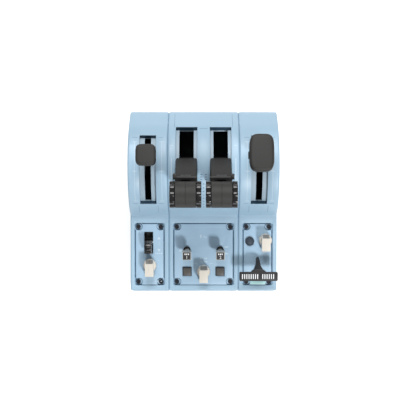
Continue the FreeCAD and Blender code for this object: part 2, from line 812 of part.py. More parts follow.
def axle(name, x, half_length):
    """A plain shaft with a clip groove near each end."""
    shaft = new_body(name)
    groove_near = "(%s - axle_overhang / 2 - clip_thickness / 2)" % half_length
    groove_far = "(%s - axle_overhang / 2 + clip_thickness / 2)" % half_length
    side = new_sketch(shaft, "XZ")
    neck = "(axle_radius - clip_groove)"
    outline(side, [
        ("-" + half_length, "0"), (half_length, "0"), (half_length, "axle_radius"),
        (groove_far, "axle_radius"), (groove_far, neck), (groove_near, neck),
        (groove_near, "axle_radius"), ("-" + groove_near, "axle_radius"), ("-" + groove_near, neck),
        ("-" + groove_far, neck), ("-" + groove_far, "axle_radius"), ("-" + half_length, "axle_radius"),
    ])
    turned(shaft, side)
    return node(at_drum(shaft, x))


THRUST_HUB = "(arm_hub_width / 2)"
SIDE_HUB = "(side_hub_width / 2)"
STAND_OFF = "(washer_thickness + 2 * washer_gap)"
CENTRE_STAND = "(thrust_spacing / 2 + %s + %s + stand_thickness / 2)" % (THRUST_HUB, STAND_OFF)
SIDE_STAND = "(%s + %s + stand_thickness / 2)" % (SIDE_HUB, STAND_OFF)

clips = []
washers = []
for unit_name, stand_x in (("centre", CENTRE_STAND), ("left", SIDE_STAND), ("right", SIDE_STAND)):
    unit = UNITS[unit_name]
    places = ["%s - %s" % (unit["x"], stand_x), "%s + %s" % (unit["x"], stand_x)]
    if unit_name == "centre":
        places.insert(1, unit["x"])
    stands = [bearing_stand("%s_stand_%d" % (unit_name, number), x) for number, x in enumerate(places)]
    node(group(unit_name + "_bearing_stands", stands))
    half_length = "(%s + stand_thickness / 2 + axle_overhang)" % stand_x
    axle(unit_name + "_axle", unit["x"], half_length)
    for sign in ("-", "+"):
        clip = ring("%s_clip_%s" % (unit_name, "left" if sign == "-" else "right"),
                    "axle_radius - clip_groove + clip_gap", "axle_radius + clip_reach",
                    "clip_thickness - 2 * clip_gap")
        clips.append(at_drum(clip, "%s %s (%s - axle_overhang / 2)" % (unit["x"], sign, half_length)))
    hub = THRUST_HUB if unit_name == "centre" else SIDE_HUB
    for slot_number, slot_x in enumerate(unit["slots"]):
        for sign in ("-", "+"):
            washer = ring("%s_washer_%d_%s" % (unit_name, slot_number, "left" if sign == "-" else "right"),
                          "axle_bore", "stand_head", "washer_thickness")
            washers.append(at_drum(washer, "%s + %s %s (%s + %s / 2)"
                                   % (unit["x"], slot_x, sign, hub, STAND_OFF)))
node(group("axle_clips", clips))
node(group("friction_washers", washers))

sleeves = []
for sign in ("-", "+"):
    inner = "stand_thickness / 2"
    outer = "(thrust_spacing / 2 - %s - %s)" % (THRUST_HUB, STAND_OFF)
    sleeve = ring("sleeve_" + ("left" if sign == "-" else "right"), "axle_bore", "sleeve_radius",
                  "%s - %s - 2 * washer_gap" % (outer, inner))
    sleeves.append(at_drum(sleeve, "%s(%s + %s) / 2" % (sign, inner, outer)))
node(group("spacer_sleeves", sleeves))


# ---------------------------------------------------------------- thrust levers

def at_radius(thing, x, radius, lean):
    """Put an object out along a lever: its own origin lies at that radius, its Z outwards."""
    return place(thing, x, "drum_axis_y + (%s) * sin(%s)" % (radius, lean),
                 "drum_axis_z + (%s) * cos(%s)" % (radius, lean), "-(%s)" % lean)


def lever_bore(lever, hub_width):
    hole = new_sketch(lever, "YZ")
    circle(hole, "0", "0", "axle_bore")
    pocket(lever, hole, "%s + 2" % hub_width, both_ways=True)


def thrust_lever(number, x):
    lever = new_body("thrust_lever_%d" % number)
    hub = new_sketch(lever, "YZ")
    circle(hub, "0", "0", "hub_radius")
    pad(lever, hub, "arm_hub_width", both_ways=True)
    blade = new_sketch(lever, "YZ")
    rectangle(blade, "-blade_depth / 2", "blade_depth / 2", "0", "arm_bottom + 4")
    pad(lever, blade, "thrust_blade", both_ways=True)
    arm = new_sketch(lever, "YZ")
    outline(
        arm,
        [("-arm_bottom * sin(arm_front_angle)", "arm_bottom * cos(arm_front_angle)"),
         ("arm_bottom * sin(arm_rear_angle)", "arm_bottom * cos(arm_rear_angle)"),
         ("arm_shoulder * sin(arm_rear_angle)", "arm_shoulder * cos(arm_rear_angle)"),
         ("arm_top_rear", "arm_top"), ("-arm_top_front", "arm_top"),
         ("-arm_shoulder * sin(arm_front_angle)", "arm_shoulder * cos(arm_front_angle)")],
        {0: ("arm_bottom", ("0", "0"), -1)},
    )
    pad(lever, arm, "arm_width", both_ways=True)
    flank = worth("arm_width") / 2
    above = worth("arm_shoulder") - 6

    def arm_edge(edge):
        box = edge.BoundBox
        return near(abs(box.XMin), flank) and near(box.XMin, box.XMax) and box.ZMax > above

    rounded(lever, arm_edge, "arm_round", "Chamfer")
    neck = new_sketch(lever, "YZ")
    rectangle(neck, "-neck_depth / 2", "neck_depth / 2", "arm_top - 1",
              "grip_height - grip_radius + grip_socket_depth")
    pad(lever, neck, "neck_width", both_ways=True)
    lever_bore(lever, "arm_hub_width")
    guide = new_sketch(lever, "XY", "arm_top")
    rectangle(guide, "-latch_stem_width / 2 - latch_gap", "latch_stem_width / 2 + latch_gap",
              "latch_stem_near - latch_gap", "latch_stem_near + latch_stem_thickness + latch_gap")
    pocket(lever, guide, "arm_top - latch_stem_bottom + latch_gap")
    return node(at_drum(lever, x, "thrust_lean"))


def thrust_grip(number, x, outer):
    """The drum-shaped grip; outer is +1 or -1, the end that holds the release button."""
    grip = new_body("thrust_grip_%d" % number)
    half = "(grip_length / 2)"
    core_end = "(%s - grip_end_step)" % half
    barrel_end = "(%s - grip_ring)" % half
    side = new_sketch(grip, "XZ")
    outline(side, [
        ("-" + core_end, "0"), (core_end, "0"), (core_end, "grip_core_radius"),
        (barrel_end, "grip_core_radius"), (barrel_end, "grip_radius"),
        ("-" + barrel_end, "grip_radius"), ("-" + barrel_end, "grip_core_radius"),
        ("-" + core_end, "grip_core_radius"),
    ])
    turned(grip, side)
    socket = new_sketch(grip, "XY", "-grip_radius - 1")
    rectangle(socket, "-neck_width / 2 - grip_socket_gap", "neck_width / 2 + grip_socket_gap",
              "-neck_depth / 2 - grip_socket_gap", "neck_depth / 2 + grip_socket_gap")
    pocket(grip, socket, "1 + grip_socket_depth + grip_socket_gap", upwards=True)
    sign = "" if outer > 0 else "-"
    bore = new_sketch(grip, "YZ", sign + core_end)
    circle(bore, "0", "0", "release_radius + release_gap")
    pocket(grip, bore, "release_depth", upwards=outer < 0)
    return node(at_radius(grip, x, "grip_height", "thrust_lean"))


def grip_ring(name, x):
    """A ribbed end ring, fluted all round."""
    made = new_body(name)
    face = new_sketch(made, "YZ")
    circle(face, "0", "0", "grip_ring_radius")
    circle(face, "0", "0", "grip_core_radius + screw_gap")
    pad(made, face, "grip_ring", both_ways=True)
    flute = new_sketch(made, "YZ")
    circle(flute, "0", "grip_ring_radius + flute_radius / 2", "flute_radius")
    cut = pocket(made, flute, "grip_ring + 2", both_ways=True)
    pattern = made.newObject("PartDesign::PolarPattern", made.Name + "_flutes")
    pattern.Originals = [cut]
    axis = next(item for item in made.Origin.OriginFeatures if item.Role == "X_Axis")
    pattern.Axis = (axis, [""])
    pattern.Angle = 360
    pattern.setExpression("Occurrences", tied("flute_count"))
    made.Tip = pattern
    doc.recompute()
    return at_radius(made, x, "grip_height", "thrust_lean")


def release_button(number, x, outer):
    button = new_body("release_button_%d" % number)
    sign = "" if outer > 0 else "-"
    inner = "(grip_length / 2 - grip_end_step - release_depth + key_travel + release_gap)"
    face = new_sketch(button, "YZ", sign + inner)
    circle(face, "0", "0", "release_radius")
    pad(button, face, "release_depth + grip_end_step + release_stand - key_travel - release_gap",
        downwards=outer < 0)
    return node(at_radius(button, x, "grip_height", "thrust_lean"))


def lift_latch(number, x, outer):
    """A finger paddle behind the grip, on a cranked flat stem that slides in the arm."""
    latch = new_body("lift_latch_%d" % number)
    sign, other = ("", "-") if outer > 0 else ("-", "")
    stem = new_sketch(latch, "XY", "latch_stem_bottom")
    rectangle(stem, "-latch_stem_width / 2", "latch_stem_width / 2", "latch_stem_near",
              "latch_stem_near + latch_stem_thickness")
    pad(latch, stem, "latch_foot_top - latch_stem_bottom")
    foot = new_sketch(latch, "XY", "latch_foot_top - latch_foot")
    rectangle(foot, "-latch_stem_width / 2", "latch_stem_width / 2", "latch_stem_near",
              "latch_near + latch_thickness")
    pad(latch, foot, "latch_foot")
    riser = new_sketch(latch, "XY", "latch_foot_top - latch_foot")
    rectangle(riser, "-latch_stem_width / 2", "latch_stem_width / 2", "latch_near",
              "latch_near + latch_thickness")
    pad(latch, riser, "latch_bottom - latch_foot_top + latch_foot + latch_corner")
    paddle = new_sketch(latch, "XZ", "-latch_near")
    sides = [sign + "latch_outer", other + "latch_inner"]
    left, right = sides if outer < 0 else sides[::-1]
    rectangle(paddle, left, right, "latch_bottom", "latch_bottom + latch_height", "latch_corner")
    pad(latch, paddle, "latch_thickness", downwards=True)
    lip = new_sketch(latch, "XY", "latch_bottom")
    near_end, far_end = sign + "(latch_outer - latch_lip_width)", sign + "latch_outer"
    ends = (near_end, far_end) if outer > 0 else (far_end, near_end)
    rectangle(lip, ends[0], ends[1], "latch_near", "latch_near + latch_lip")
    pad(latch, lip, "latch_height")
    return node(at_drum(latch, x, "thrust_lean"))


for number, (x, outer) in enumerate((("-thrust_spacing / 2", -1), ("thrust_spacing / 2", 1)), start=1):
    thrust_lever(number, x)
    thrust_grip(number, x, outer)
    reach = "(grip_length - grip_ring) / 2"
    node(group("grip_rings_%d" % number, [
        grip_ring("grip_ring_%d_left" % number, "%s - %s" % (x, reach)),
        grip_ring("grip_ring_%d_right" % number, "%s + %s" % (x, reach)),
    ]))
    release_button(number, x, outer)
    lift_latch(number, x, outer)


# ---------------------------------------------------------------- speed-brake and flap levers

def side_lever(name, x, lean, knob_bottom):
    lever = new_body(name)
    hub = new_sketch(lever, "YZ")
    circle(hub, "0", "0", "hub_radius")
    pad(lever, hub, "side_hub_width", both_ways=True)
    blade = new_sketch(lever, "YZ")
    rectangle(blade, "-side_blade_depth / 2", "side_blade_depth / 2", "0",
              "%s + knob_socket_depth" % knob_bottom)
    pad(lever, blade, "side_blade", both_ways=True)
    lever_bore(lever, "side_hub_width")
    return node(at_drum(lever, x, lean))


def blade_socket(knob, bottom):
    socket = new_sketch(knob, "XY", bottom)
    rectangle(socket, "-side_blade / 2 - grip_socket_gap", "side_blade / 2 + grip_socket_gap",
              "-side_blade_depth / 2 - grip_socket_gap", "side_blade_depth / 2 + grip_socket_gap")
    pocket(knob, socket, "knob_socket_depth + grip_socket_gap", upwards=True)


def rim_edges(knob, low, high):
    bottom, top = worth(low), worth(high)

    def wanted(edge):
        box = edge.BoundBox
        level = near(box.ZMin, box.ZMax)
        return level and (near(box.ZMin, bottom) or near(box.ZMin, top))

    rounded(knob, wanted, "knob_edge")


side_lever("speed_brake_lever", "-side_offset", "speed_brake_lean", "speed_knob_bottom")
side_lever("flap_lever", "side_offset", "flap_lean", "flap_knob_bottom")

speed_knob = new_body("speed_brake_knob")
face = new_sketch(speed_knob, "XY", "speed_knob_bottom")
rectangle(face, "-speed_knob_width / 2", "speed_knob_width / 2", "-speed_knob_depth / 2",
          "speed_knob_depth / 2", "speed_knob_corner")
pad(speed_knob, face, "speed_knob_top - speed_knob_bottom")
rim_edges(speed_knob, "speed_knob_bottom", "speed_knob_top")
blade_socket(speed_knob, "speed_knob_bottom")
node(at_drum(speed_knob, "-side_offset", "speed_brake_lean"))

flap_knob = new_body("flap_knob")
face = new_sketch(flap_knob, "XY", "flap_knob_bottom")
rectangle(face, "-flap_knob_width / 2", "flap_knob_width / 2", "-flap_knob_depth / 2",
          "flap_knob_depth / 2", "flap_knob_corner")
pad(flap_knob, face, "flap_knob_top - flap_knob_bottom")
rim_edges(flap_knob, "flap_knob_bottom", "flap_knob_top")
blade_socket(flap_knob, "flap_knob_bottom")
node(at_drum(flap_knob, "side_offset", "flap_lean"))

collar = new_body("flap_latch_collar")
face = new_sketch(collar, "XY", "collar_bottom")
rectangle(face, "-collar_width / 2", "collar_width / 2", "-collar_depth / 2", "collar_depth / 2",
          "collar_corner")
rectangle(face, "-side_blade / 2 - collar_gap", "side_blade / 2 + collar_gap",
          "-side_blade_depth / 2 - collar_gap", "side_blade_depth / 2 + collar_gap")
pad(collar, face, "collar_height")
tab = new_sketch(collar, "XY", "collar_bottom")
rectangle(tab, "-collar_tab_reach", "-collar_width / 2 + collar_corner", "-collar_tab_depth / 2",
          "collar_tab_depth / 2")
pad(collar, tab, "collar_tab_height")
node(at_drum(collar, "side_offset", "flap_lean"))


# ---------------------------------------------------------------- switches, keys and knobs

def engine_switch(number, x):
    """A toggle on a cross pin, with a square cap, leaning towards the user at rest."""
    toggle = new_body("engine_switch_%d" % number)
    stalk = new_sketch(toggle, "XZ")
    root = "-switch_ball_radius"
    outline(
        stalk,
        [("0", root), ("switch_ball_radius", "0"), ("switch_stalk_radius", "switch_ball_radius"),
         ("switch_stalk_radius", "switch_stalk_length + 1"), ("0", "switch_stalk_length + 1")],
        {0: ("switch_ball_radius", ("0", "0"), 1)},
    )
    turned(toggle, stalk, axis="V_Axis")
    pin = new_sketch(toggle, "YZ")
    circle(pin, "0", "0", "switch_pin_radius")
    pad(toggle, pin, "switch_pin_length", both_ways=True)
    cap = new_sketch(toggle, "XY", "switch_stalk_length")
    rectangle(cap, "-switch_cap_side / 2", "switch_cap_side / 2", "-switch_cap_side / 2",
              "switch_cap_side / 2", "switch_cap_corner")
    pad(toggle, cap, "switch_cap_height")
    window = new_sketch(toggle, "XY", "switch_stalk_length + switch_cap_height")
    rectangle(window, "-switch_cap_side / 2 + switch_cap_rim", "switch_cap_side / 2 - switch_cap_rim",
              "-switch_cap_side / 2 + switch_cap_rim", "switch_cap_side / 2 - switch_cap_rim")
    pocket(toggle, window, "switch_cap_sink")
    return node(on_deck(toggle, x, "switch_run", "plate_top", "switch_throw / 2"))


def switch_bush(name, x):
    """The round nut and threaded bush that hold a toggle in the plate, with its box below."""
    bush = new_body(name)
    side = new_sketch(bush, "XZ")
    bore = "(switch_ball_radius + key_gap)"
    outline(side, [
        (bore, "-bush_depth"), ("switch_bush_radius", "-bush_depth"), ("switch_bush_radius", "0"),
        ("switch_nut_radius", "0"), ("switch_nut_radius", "switch_nut_height"),
        (bore, "switch_nut_height"),
    ])
    turned(bush, side, axis="V_Axis")
    base = new_sketch(bush, "XY", "-bush_depth")
    rectangle(base, "-module_side / 2", "module_side / 2", "-module_side / 2", "module_side / 2")
    pad(bush, base, "module_depth", downwards=True)
    socket = new_sketch(bush, "YZ")
    circle(socket, "0", "0", "switch_pin_radius + bore_gap")
    pocket(bush, socket, "switch_pin_length + 2 * screw_gap", both_ways=True)
    return on_deck(bush, x, "switch_run", "plate_top")


def control_key(number, x):
    key = new_body("selector_key_%d" % number)
    face = new_sketch(key, "XY", "plate_bottom - key_travel")
    rectangle(face, "-key_side / 2", "key_side / 2", "-key_side / 2", "key_side / 2", "key_corner")
    pad(key, face, "key_height - plate_bottom + key_travel + plate_top")
    return node(on_deck(key, x, "key_run"))


def bar_knob(name, x, run):
    """A round skirt with a grip bar across it: square towards the user, pointed to the rear."""
    knob = new_body(name)
    low = "(plate_top + knob_lift)"
    skirt = new_sketch(knob, "XZ")
    outline(skirt, [("0", low), ("knob_disc_radius", low),
                    ("knob_disc_radius - 0.6", "knob_disc_height"), ("0", "knob_disc_height")])
    turned(knob, skirt, axis="V_Axis")
    shaft = new_sketch(knob, "XY", low)
    circle(shaft, "0", "0", "knob_shaft_radius")
    pad(knob, shaft, "knob_shaft_length", downwards=True)
    bar = new_sketch(knob, "YZ")
    outline(bar, [
        ("-knob_disc_radius + 1", "knob_disc_height - 2"), ("knob_bar_rear", "knob_disc_height - 2"),
        ("knob_bar_crest", "knob_bar_height"), ("-knob_bar_front", "knob_bar_height"),
        ("-knob_bar_front", "knob_disc_height + 2"),
    ])
    pad(knob, bar, "knob_bar_width", both_ways=True)
    return node(on_deck(knob, x, run))


def knob_module(name, x, run):
    """The rotary unit under a knob: a block with a round nose that the plate sits on."""
    block = new_body(name)
    low = "(plate_top + knob_lift - knob_shaft_length)"
    face = new_sketch(block, "XY", low + " - key_gap")
    rectangle(face, "-module_side / 2", "module_side / 2", "-module_side / 2", "module_side / 2")
    pad(block, face, "module_depth", downwards=True)
    nose = new_sketch(block, "XY", low + " - key_gap - 1")
    circle(nose, "0", "0", "nose_radius")
    circle(nose, "0", "0", "knob_shaft_radius + screw_gap")
    pad(block, nose, "plate_bottom - %s + key_gap + 1" % low)
    return on_deck(block, x, run)


for number, x in enumerate(("-switch_offset", "switch_offset"), start=1):
    engine_switch(number, x)
    control_key(number, x)
node(group("switch_bushes", [switch_bush("switch_bush_1", "-switch_offset"),
                             switch_bush("switch_bush_2", "switch_offset")]))

KNOBS = {"mode_knob": ("0", "mode_knob_run"),
         "brake_level_knob": ("-side_offset + brake_knob_x", "brake_knob_run"),
         "trim_knob": ("side_offset + trim_knob_x", "trim_knob_run")}
modules = []
for name, (x, run) in KNOBS.items():
    bar_knob(name, x, run)
    modules.append(knob_module(name + "_module", x, run))

gear = new_body("gear_lever")
stalk = new_sketch(gear, "YZ")
rectangle(stalk, "-gear_stalk_width / 2", "gear_stalk_width / 2", "0",
          "gear_pivot_depth + gear_wheel_height")
pad(gear, stalk, "gear_stalk_width", both_ways=True)
wheel = new_sketch(gear, "YZ")
circle(wheel, "0", "gear_pivot_depth + gear_wheel_height", "gear_wheel_radius")
pad(gear, wheel, "gear_wheel_width", both_ways=True)
step = "360 / gear_ridge_count"
for number in range(round(worth("gear_ridge_count"))):
    groove = new_sketch(gear, "YZ")
    angle = "(%d * %s)" % (number, step)
    circle(groove, "(gear_wheel_radius + gear_ridge_radius / 3) * sin%s" % angle,
           "gear_pivot_depth + gear_wheel_height"
           " + (gear_wheel_radius + gear_ridge_radius / 3) * cos%s" % angle, "gear_ridge_radius")
    pocket(gear, groove, "gear_wheel_width + 2", both_ways=True)
boss = new_sketch(gear, "YZ")
circle(boss, "0", "0", "gear_boss_radius")
pad(gear, boss, "gear_wheel_width", both_ways=True)
hole = new_sketch(gear, "YZ")
circle(hole, "0", "0", "gear_pin_radius + bore_gap")
pocket(gear, hole, "gear_wheel_width + 2", both_ways=True)
GEAR_X = "-side_offset + gear_x"
node(on_deck(gear, GEAR_X, "gear_run", "-gear_pivot_depth", "gear_throw / 2"))

cradle = new_body("gear_cradle")
walls = new_sketch(cradle, "YZ")
rectangle(walls, "-gear_slot_length / 2", "gear_slot_length / 2", "-gear_pin_radius - 5",
          "gear_pivot_depth + plate_bottom")
pad(cradle, walls, "gear_slot_width + 4", both_ways=True)
well = new_sketch(cradle, "YZ")
rectangle(well, "-gear_slot_length / 2 + 1.5", "gear_slot_length / 2 - 1.5", "-gear_pin_radius - 3.5",
          "gear_pivot_depth")
pocket(cradle, well, "gear_slot_width", both_ways=True)
hole = new_sketch(cradle, "YZ")
circle(hole, "0", "0", "gear_pin_radius + bore_gap")
pocket(cradle, hole, "gear_slot_width + 6", both_ways=True)
node(on_deck(cradle, GEAR_X, "gear_run", "-gear_pivot_depth"))

pin = new_body("gear_pin")
face = new_sketch(pin, "YZ")
circle(face, "0", "0", "gear_pin_radius")
pad(pin, face, "gear_slot_width + 4", both_ways=True)
node(on_deck(pin, GEAR_X, "gear_run", "-gear_pivot_depth"))

push = new_body("trim_reset_button")
side = new_sketch(push, "XY", "plate_bottom - key_travel")
circle(side, "0", "0", "push_radius")
pad(push, side, "push_height - plate_bottom + key_travel + plate_top")
node(on_deck(push, "side_offset + push_x", "push_run"))

bezel = new_body("reset_button_bezel")
face = new_sketch(bezel, "XY", "plate_top")
circle(face, "0", "0", "push_ring_radius")
circle(face, "0", "0", "push_radius + key_gap")
pad(bezel, face, "push_ring_height")
node(on_deck(bezel, "side_offset + push_x", "push_run"))

def key_module(name, x, run, side, draw_mouth):
    """The switch under a key: a block with a square rim that meets the plate round its hole."""
    block = new_body(name)
    top = "(plate_bottom - 2 * key_travel - key_gap)"
    half = "(%s / 2)" % side
    face = new_sketch(block, "XY", top)
    rectangle(face, "-" + half, half, "-" + half, half)
    pad(block, face, "module_depth - 4", downwards=True)
    rim = new_sketch(block, "XY", top + " - 1")
    rectangle(rim, "-" + half, half, "-" + half, half)
    draw_mouth(rim)
    pad(block, rim, "plate_bottom - %s + 1" % top)
    return on_deck(block, x, run)


KEY_MOUTH = square_hole("0", "0", KEY_HOLE)
node(group("key_modules", [
    key_module("key_module_1", "-switch_offset", "key_run", "module_side", KEY_MOUTH),
    key_module("key_module_2", "switch_offset", "key_run", "module_side", KEY_MOUTH),
    key_module("reset_module", "side_offset + push_x", "push_run", "(2 * push_ring_radius)",
               round_hole("0", "0", "push_radius + key_gap")),
]))

handle = new_body("park_brake_handle")
web = new_sketch(handle, "XY", "handle_height - handle_plate_thickness")
low = "(-handle_overhang - handle_plate_depth / 2)"
high = "(-handle_overhang + handle_plate_depth / 2)"
rectangle(web, "-handle_plate_width / 2", "handle_plate_width / 2", low, high, "handle_corner")
pad(handle, web, "handle_plate_thickness")
neck = new_sketch(handle, "YZ")
outline(neck, [
    ("-handle_stem_radius", "plate_top + key_gap"), ("handle_web_back", "plate_top + key_gap"),
    ("handle_web_back", "handle_web_foot"), (high + " + handle_web_back", "handle_height"),
    (high + " - handle_lap", "handle_height"), (high + " - handle_lap", "handle_height - handle_web_depth"),
    ("-handle_stem_radius", "handle_web_foot"),
])
pad(handle, neck, "handle_web_width", both_ways=True)
stem = new_sketch(handle, "XY", "plate_bottom - handle_stem_length")
circle(stem, "0", "0", "handle_stem_radius")
pad(handle, stem, "handle_stem_length - plate_bottom + plate_top + handle_web_foot")
flare = new_sketch(handle, "XY", "handle_height - handle_plate_thickness")
wide = "(handle_web_width / 2 + handle_flare_round)"
far = high + " + handle_flare_round"
outline(
    flare,
    [("-" + wide, high + " - handle_lap"), (wide, high + " - handle_lap"), (wide, high),
     ("handle_web_width / 2", far), ("-handle_web_width / 2", far), ("-" + wide, high)],
    {2: ("handle_flare_round", (wide, far), -1), 4: ("handle_flare_round", ("-" + wide, far), -1)},
)
pad(handle, flare, "handle_plate_thickness")
node(on_deck(handle, "side_offset", "handle_run"))

block = new_body("park_brake_module")
top = "(plate_bottom - handle_stem_length - key_gap)"
face = new_sketch(block, "XY", top)
rectangle(face, "-module_side / 2", "module_side / 2", "-module_side / 2", "module_side / 2")
pad(block, face, "module_depth - 3", downwards=True)
nose = new_sketch(block, "XY", top + " - 1")
circle(nose, "0", "0", "nose_radius")
circle(nose, "0", "0", "handle_stem_radius + screw_gap")
pad(block, nose, "plate_bottom - %s + 1" % top)
modules.append(on_deck(block, "side_offset", "handle_run"))
node(group("rotary_modules", modules))


# ---------------------------------------------------------------- boards, sensors, links, inlet

boards = []
for unit_name, unit in UNITS.items():
    board = new_body(unit_name + "_circuit_board")
    face = new_sketch(board, "XY", "tray_top + board_lift")
    half = "(%s / 2 - wall_thickness - board_side_gap)" % unit["width"]
    low = "-front_reach + wall_thickness + post_side + board_end_gap"
    rectangle(face, "-" + half, half, low, low + " + board_length")
    pad(board, face, "board_thickness")
    posts = new_sketch(board, "XY", "tray_top")
    for x, y in four_corners("(%s - 2 * board_post_radius)" % half, "(%s + 2 * board_post_radius)" % low,
                             "(%s + board_length - 2 * board_post_radius)" % low):
        circle(posts, x, y, "board_post_radius")
    pad(board, posts, "board_lift + 0.5")
    boards.append(place(board, unit["x"]))
node(group("circuit_boards", boards))

sensors = []
for name, x in (("centre_left", "-(%s)" % CENTRE_STAND), ("centre_right", CENTRE_STAND),
                ("left", "-side_offset - %s" % SIDE_STAND), ("right", "side_offset + %s" % SIDE_STAND)):
    sign = "-" if "left" in name else ""
    sensor = new_body(name + "_sensor")
    face = new_sketch(sensor, "YZ", "%s(stand_thickness / 2 + axle_overhang + sensor_gap)" % sign)
    circle(face, "0", "0", "sensor_radius")
    pad(sensor, face, "sensor_depth", downwards=bool(sign))
    foot = new_sketch(sensor, "YZ", "%sstand_thickness / 2" % sign)
    rectangle(foot, "-sensor_radius", "sensor_radius", "-sensor_radius - sensor_foot_depth",
              "-axle_radius - clip_reach - sensor_foot_gap")
    pad(sensor, foot, "axle_overhang + sensor_gap + sensor_depth", downwards=bool(sign))
    sensors.append(at_drum(sensor, x))
node(group("position_sensors", sensors))

inlet = new_body("usb_inlet")
mouth = new_sketch(inlet, "XZ", "-rear_reach", "inlet_z")
half_w = "(inlet_width / 2 - inlet_gap)"
half_h = "(inlet_height / 2 - inlet_gap)"
rectangle(mouth, "-" + half_w, half_w, "-" + half_h, half_h, half_h + " - 0.05")
pad(inlet, mouth, "inlet_depth")
hollow = new_sketch(inlet, "XZ", "-rear_reach", "inlet_z")
rectangle(hollow, "-%s + 0.4" % half_w, half_w + " - 0.4", "-%s + 0.4" % half_h, half_h + " - 0.4",
          half_h + " - 0.45")
pocket(inlet, hollow, "inlet_depth - 1.5", upwards=True)
base = new_sketch(inlet, "XY", "tray_top")
rectangle(base, "-inlet_width / 2", "inlet_width / 2", "rear_reach - wall_thickness - 1 - inlet_depth",
          "rear_reach - wall_thickness - 1")
pad(inlet, base, "inlet_z - inlet_height / 2 + inlet_gap - tray_top")
node(place(inlet))

links = []
link_screws = []
for side_name, sign in (("left", "-"), ("right", "")):
    for end_name, y in (("front", "-link_offset"), ("rear", "link_offset")):
        link = new_body("%s_%s_link" % (side_name, end_name))
        plate = new_sketch(link, "XY")
        rectangle(plate, "-link_plate_width / 2", "link_plate_width / 2", "-link_plate_length / 2",
                  "link_plate_length / 2", "plate_corner")
        pad(link, plate, "link_plate_thickness")
        links.append(place(link, "%scentre_width / 2" % sign, y, "foot_height - link_plate_thickness"))
node(group("link_plates", links))


# ---------------------------------------------------------------- check and write

doc.recompute()
failed = [item.Name for item in doc.Objects if {"Invalid", "Error"} & set(item.State)]
if failed:
    raise ValueError("not built: " + ", ".join(failed))
for thing in NODES:
    if thing.Shape.isNull() or not thing.Shape.isValid():
        raise ValueError("bad shape: " + thing.Label)

os.makedirs("parts", exist_ok=True)
for thing in NODES:
    thing.Shape.exportStep("parts/%s.step" % thing.Label)
print("wrote %d sub-parts" % len(NODES))
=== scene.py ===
import json
import math

import bmesh
import bpy
from mathutils import Matrix, Vector


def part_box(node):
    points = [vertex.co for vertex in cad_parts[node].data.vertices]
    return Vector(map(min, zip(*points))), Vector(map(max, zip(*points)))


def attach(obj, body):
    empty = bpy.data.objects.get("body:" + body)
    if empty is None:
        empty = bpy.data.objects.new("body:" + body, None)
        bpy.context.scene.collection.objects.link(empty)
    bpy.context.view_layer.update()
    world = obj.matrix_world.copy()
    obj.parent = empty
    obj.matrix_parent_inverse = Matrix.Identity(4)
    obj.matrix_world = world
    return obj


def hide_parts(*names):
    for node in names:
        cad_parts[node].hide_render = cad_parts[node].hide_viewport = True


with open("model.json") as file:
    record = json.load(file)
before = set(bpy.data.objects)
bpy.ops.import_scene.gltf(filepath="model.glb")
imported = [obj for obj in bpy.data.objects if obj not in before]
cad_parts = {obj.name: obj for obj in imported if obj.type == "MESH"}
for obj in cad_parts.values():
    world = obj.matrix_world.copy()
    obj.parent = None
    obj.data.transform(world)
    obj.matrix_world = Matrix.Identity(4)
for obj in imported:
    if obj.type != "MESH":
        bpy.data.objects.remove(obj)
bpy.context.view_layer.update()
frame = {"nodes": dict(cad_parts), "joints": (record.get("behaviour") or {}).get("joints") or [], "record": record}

MM = 0.001
JOINTS = {joint["name"]: joint for joint in frame["joints"]}
X_AXIS = Vector((1, 0, 0))


# ---------------------------------------------------------------- places, all from the frame

def joint_point(name):
    """Where a joint turns or slides, in metres."""
    return Vector(JOINTS[name]["pos_m"])


AXIS = joint_point("speed_brake_pivot")
CENTRE_LOW, CENTRE_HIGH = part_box("centre_housing")
DRUM_RADIUS = CENTRE_HIGH.y - AXIS.y
DECK_NORMAL = Vector(JOINTS["mode_knob_turn"]["axis"]).normalized()
DECK_UP = DECK_NORMAL.cross(X_AXIS)
DECK_SLOPE = math.atan2(DECK_UP.z, DECK_UP.y)
MODE_KNOB = joint_point("mode_knob_turn")
DECK_FRONT = MODE_KNOB - DECK_UP * ((MODE_KNOB.y - CENTRE_LOW.y) / DECK_UP.y)


def deck_frame(x, run, lift=0.0, turn=0.0):
    """The place of something on a sloped deck: its own Y runs up the slope, its Z stands off it."""
    spot = DECK_FRONT + DECK_UP * run + DECK_NORMAL * lift
    return Matrix.Translation((x, spot.y, spot.z)) @ Matrix.Rotation(DECK_SLOPE + turn, 4, "X")


def drum_frame(x, lean=0.0):
    """The place of something on the drum's axis: its own Z points outwards, leaning to the rear."""
    return Matrix.Translation((x, AXIS.y, AXIS.z)) @ Matrix.Rotation(-lean, 4, "X")


# ---------------------------------------------------------------- materials

def colour(hex_code):
    """An sRGB hex colour as the linear values that a shader takes."""
    channels = [int(hex_code[i:i + 2], 16) / 255 for i in (1, 3, 5)]
    linear = [c / 12.92 if c <= 0.04045 else ((c + 0.055) / 1.055) ** 2.4 for c in channels]
    return (*linear, 1.0)


def add_node(tree, kind, settings=None, links=None):
    """Add a shader node, set its inputs or properties, and link other nodes' outputs into it."""
    made = tree.nodes.new(kind)
    for name, value in (settings or {}).items():
        if name in made.inputs:
            made.inputs[name].default_value = value
        else:
            setattr(made, name, value)
    for name, output in (links or {}).items():
        tree.links.new(output, made.inputs[name])
    return made


# Every finish varies in soft clouds this far across, by this much roughness either way.
CLOUD_MM = 30
GLOSS_CHANGE = 0.06
GRAIN_STRENGTH = 0.35
PLASTIC_IOR = 1.5
COAT_ROUGHNESS = 0.08


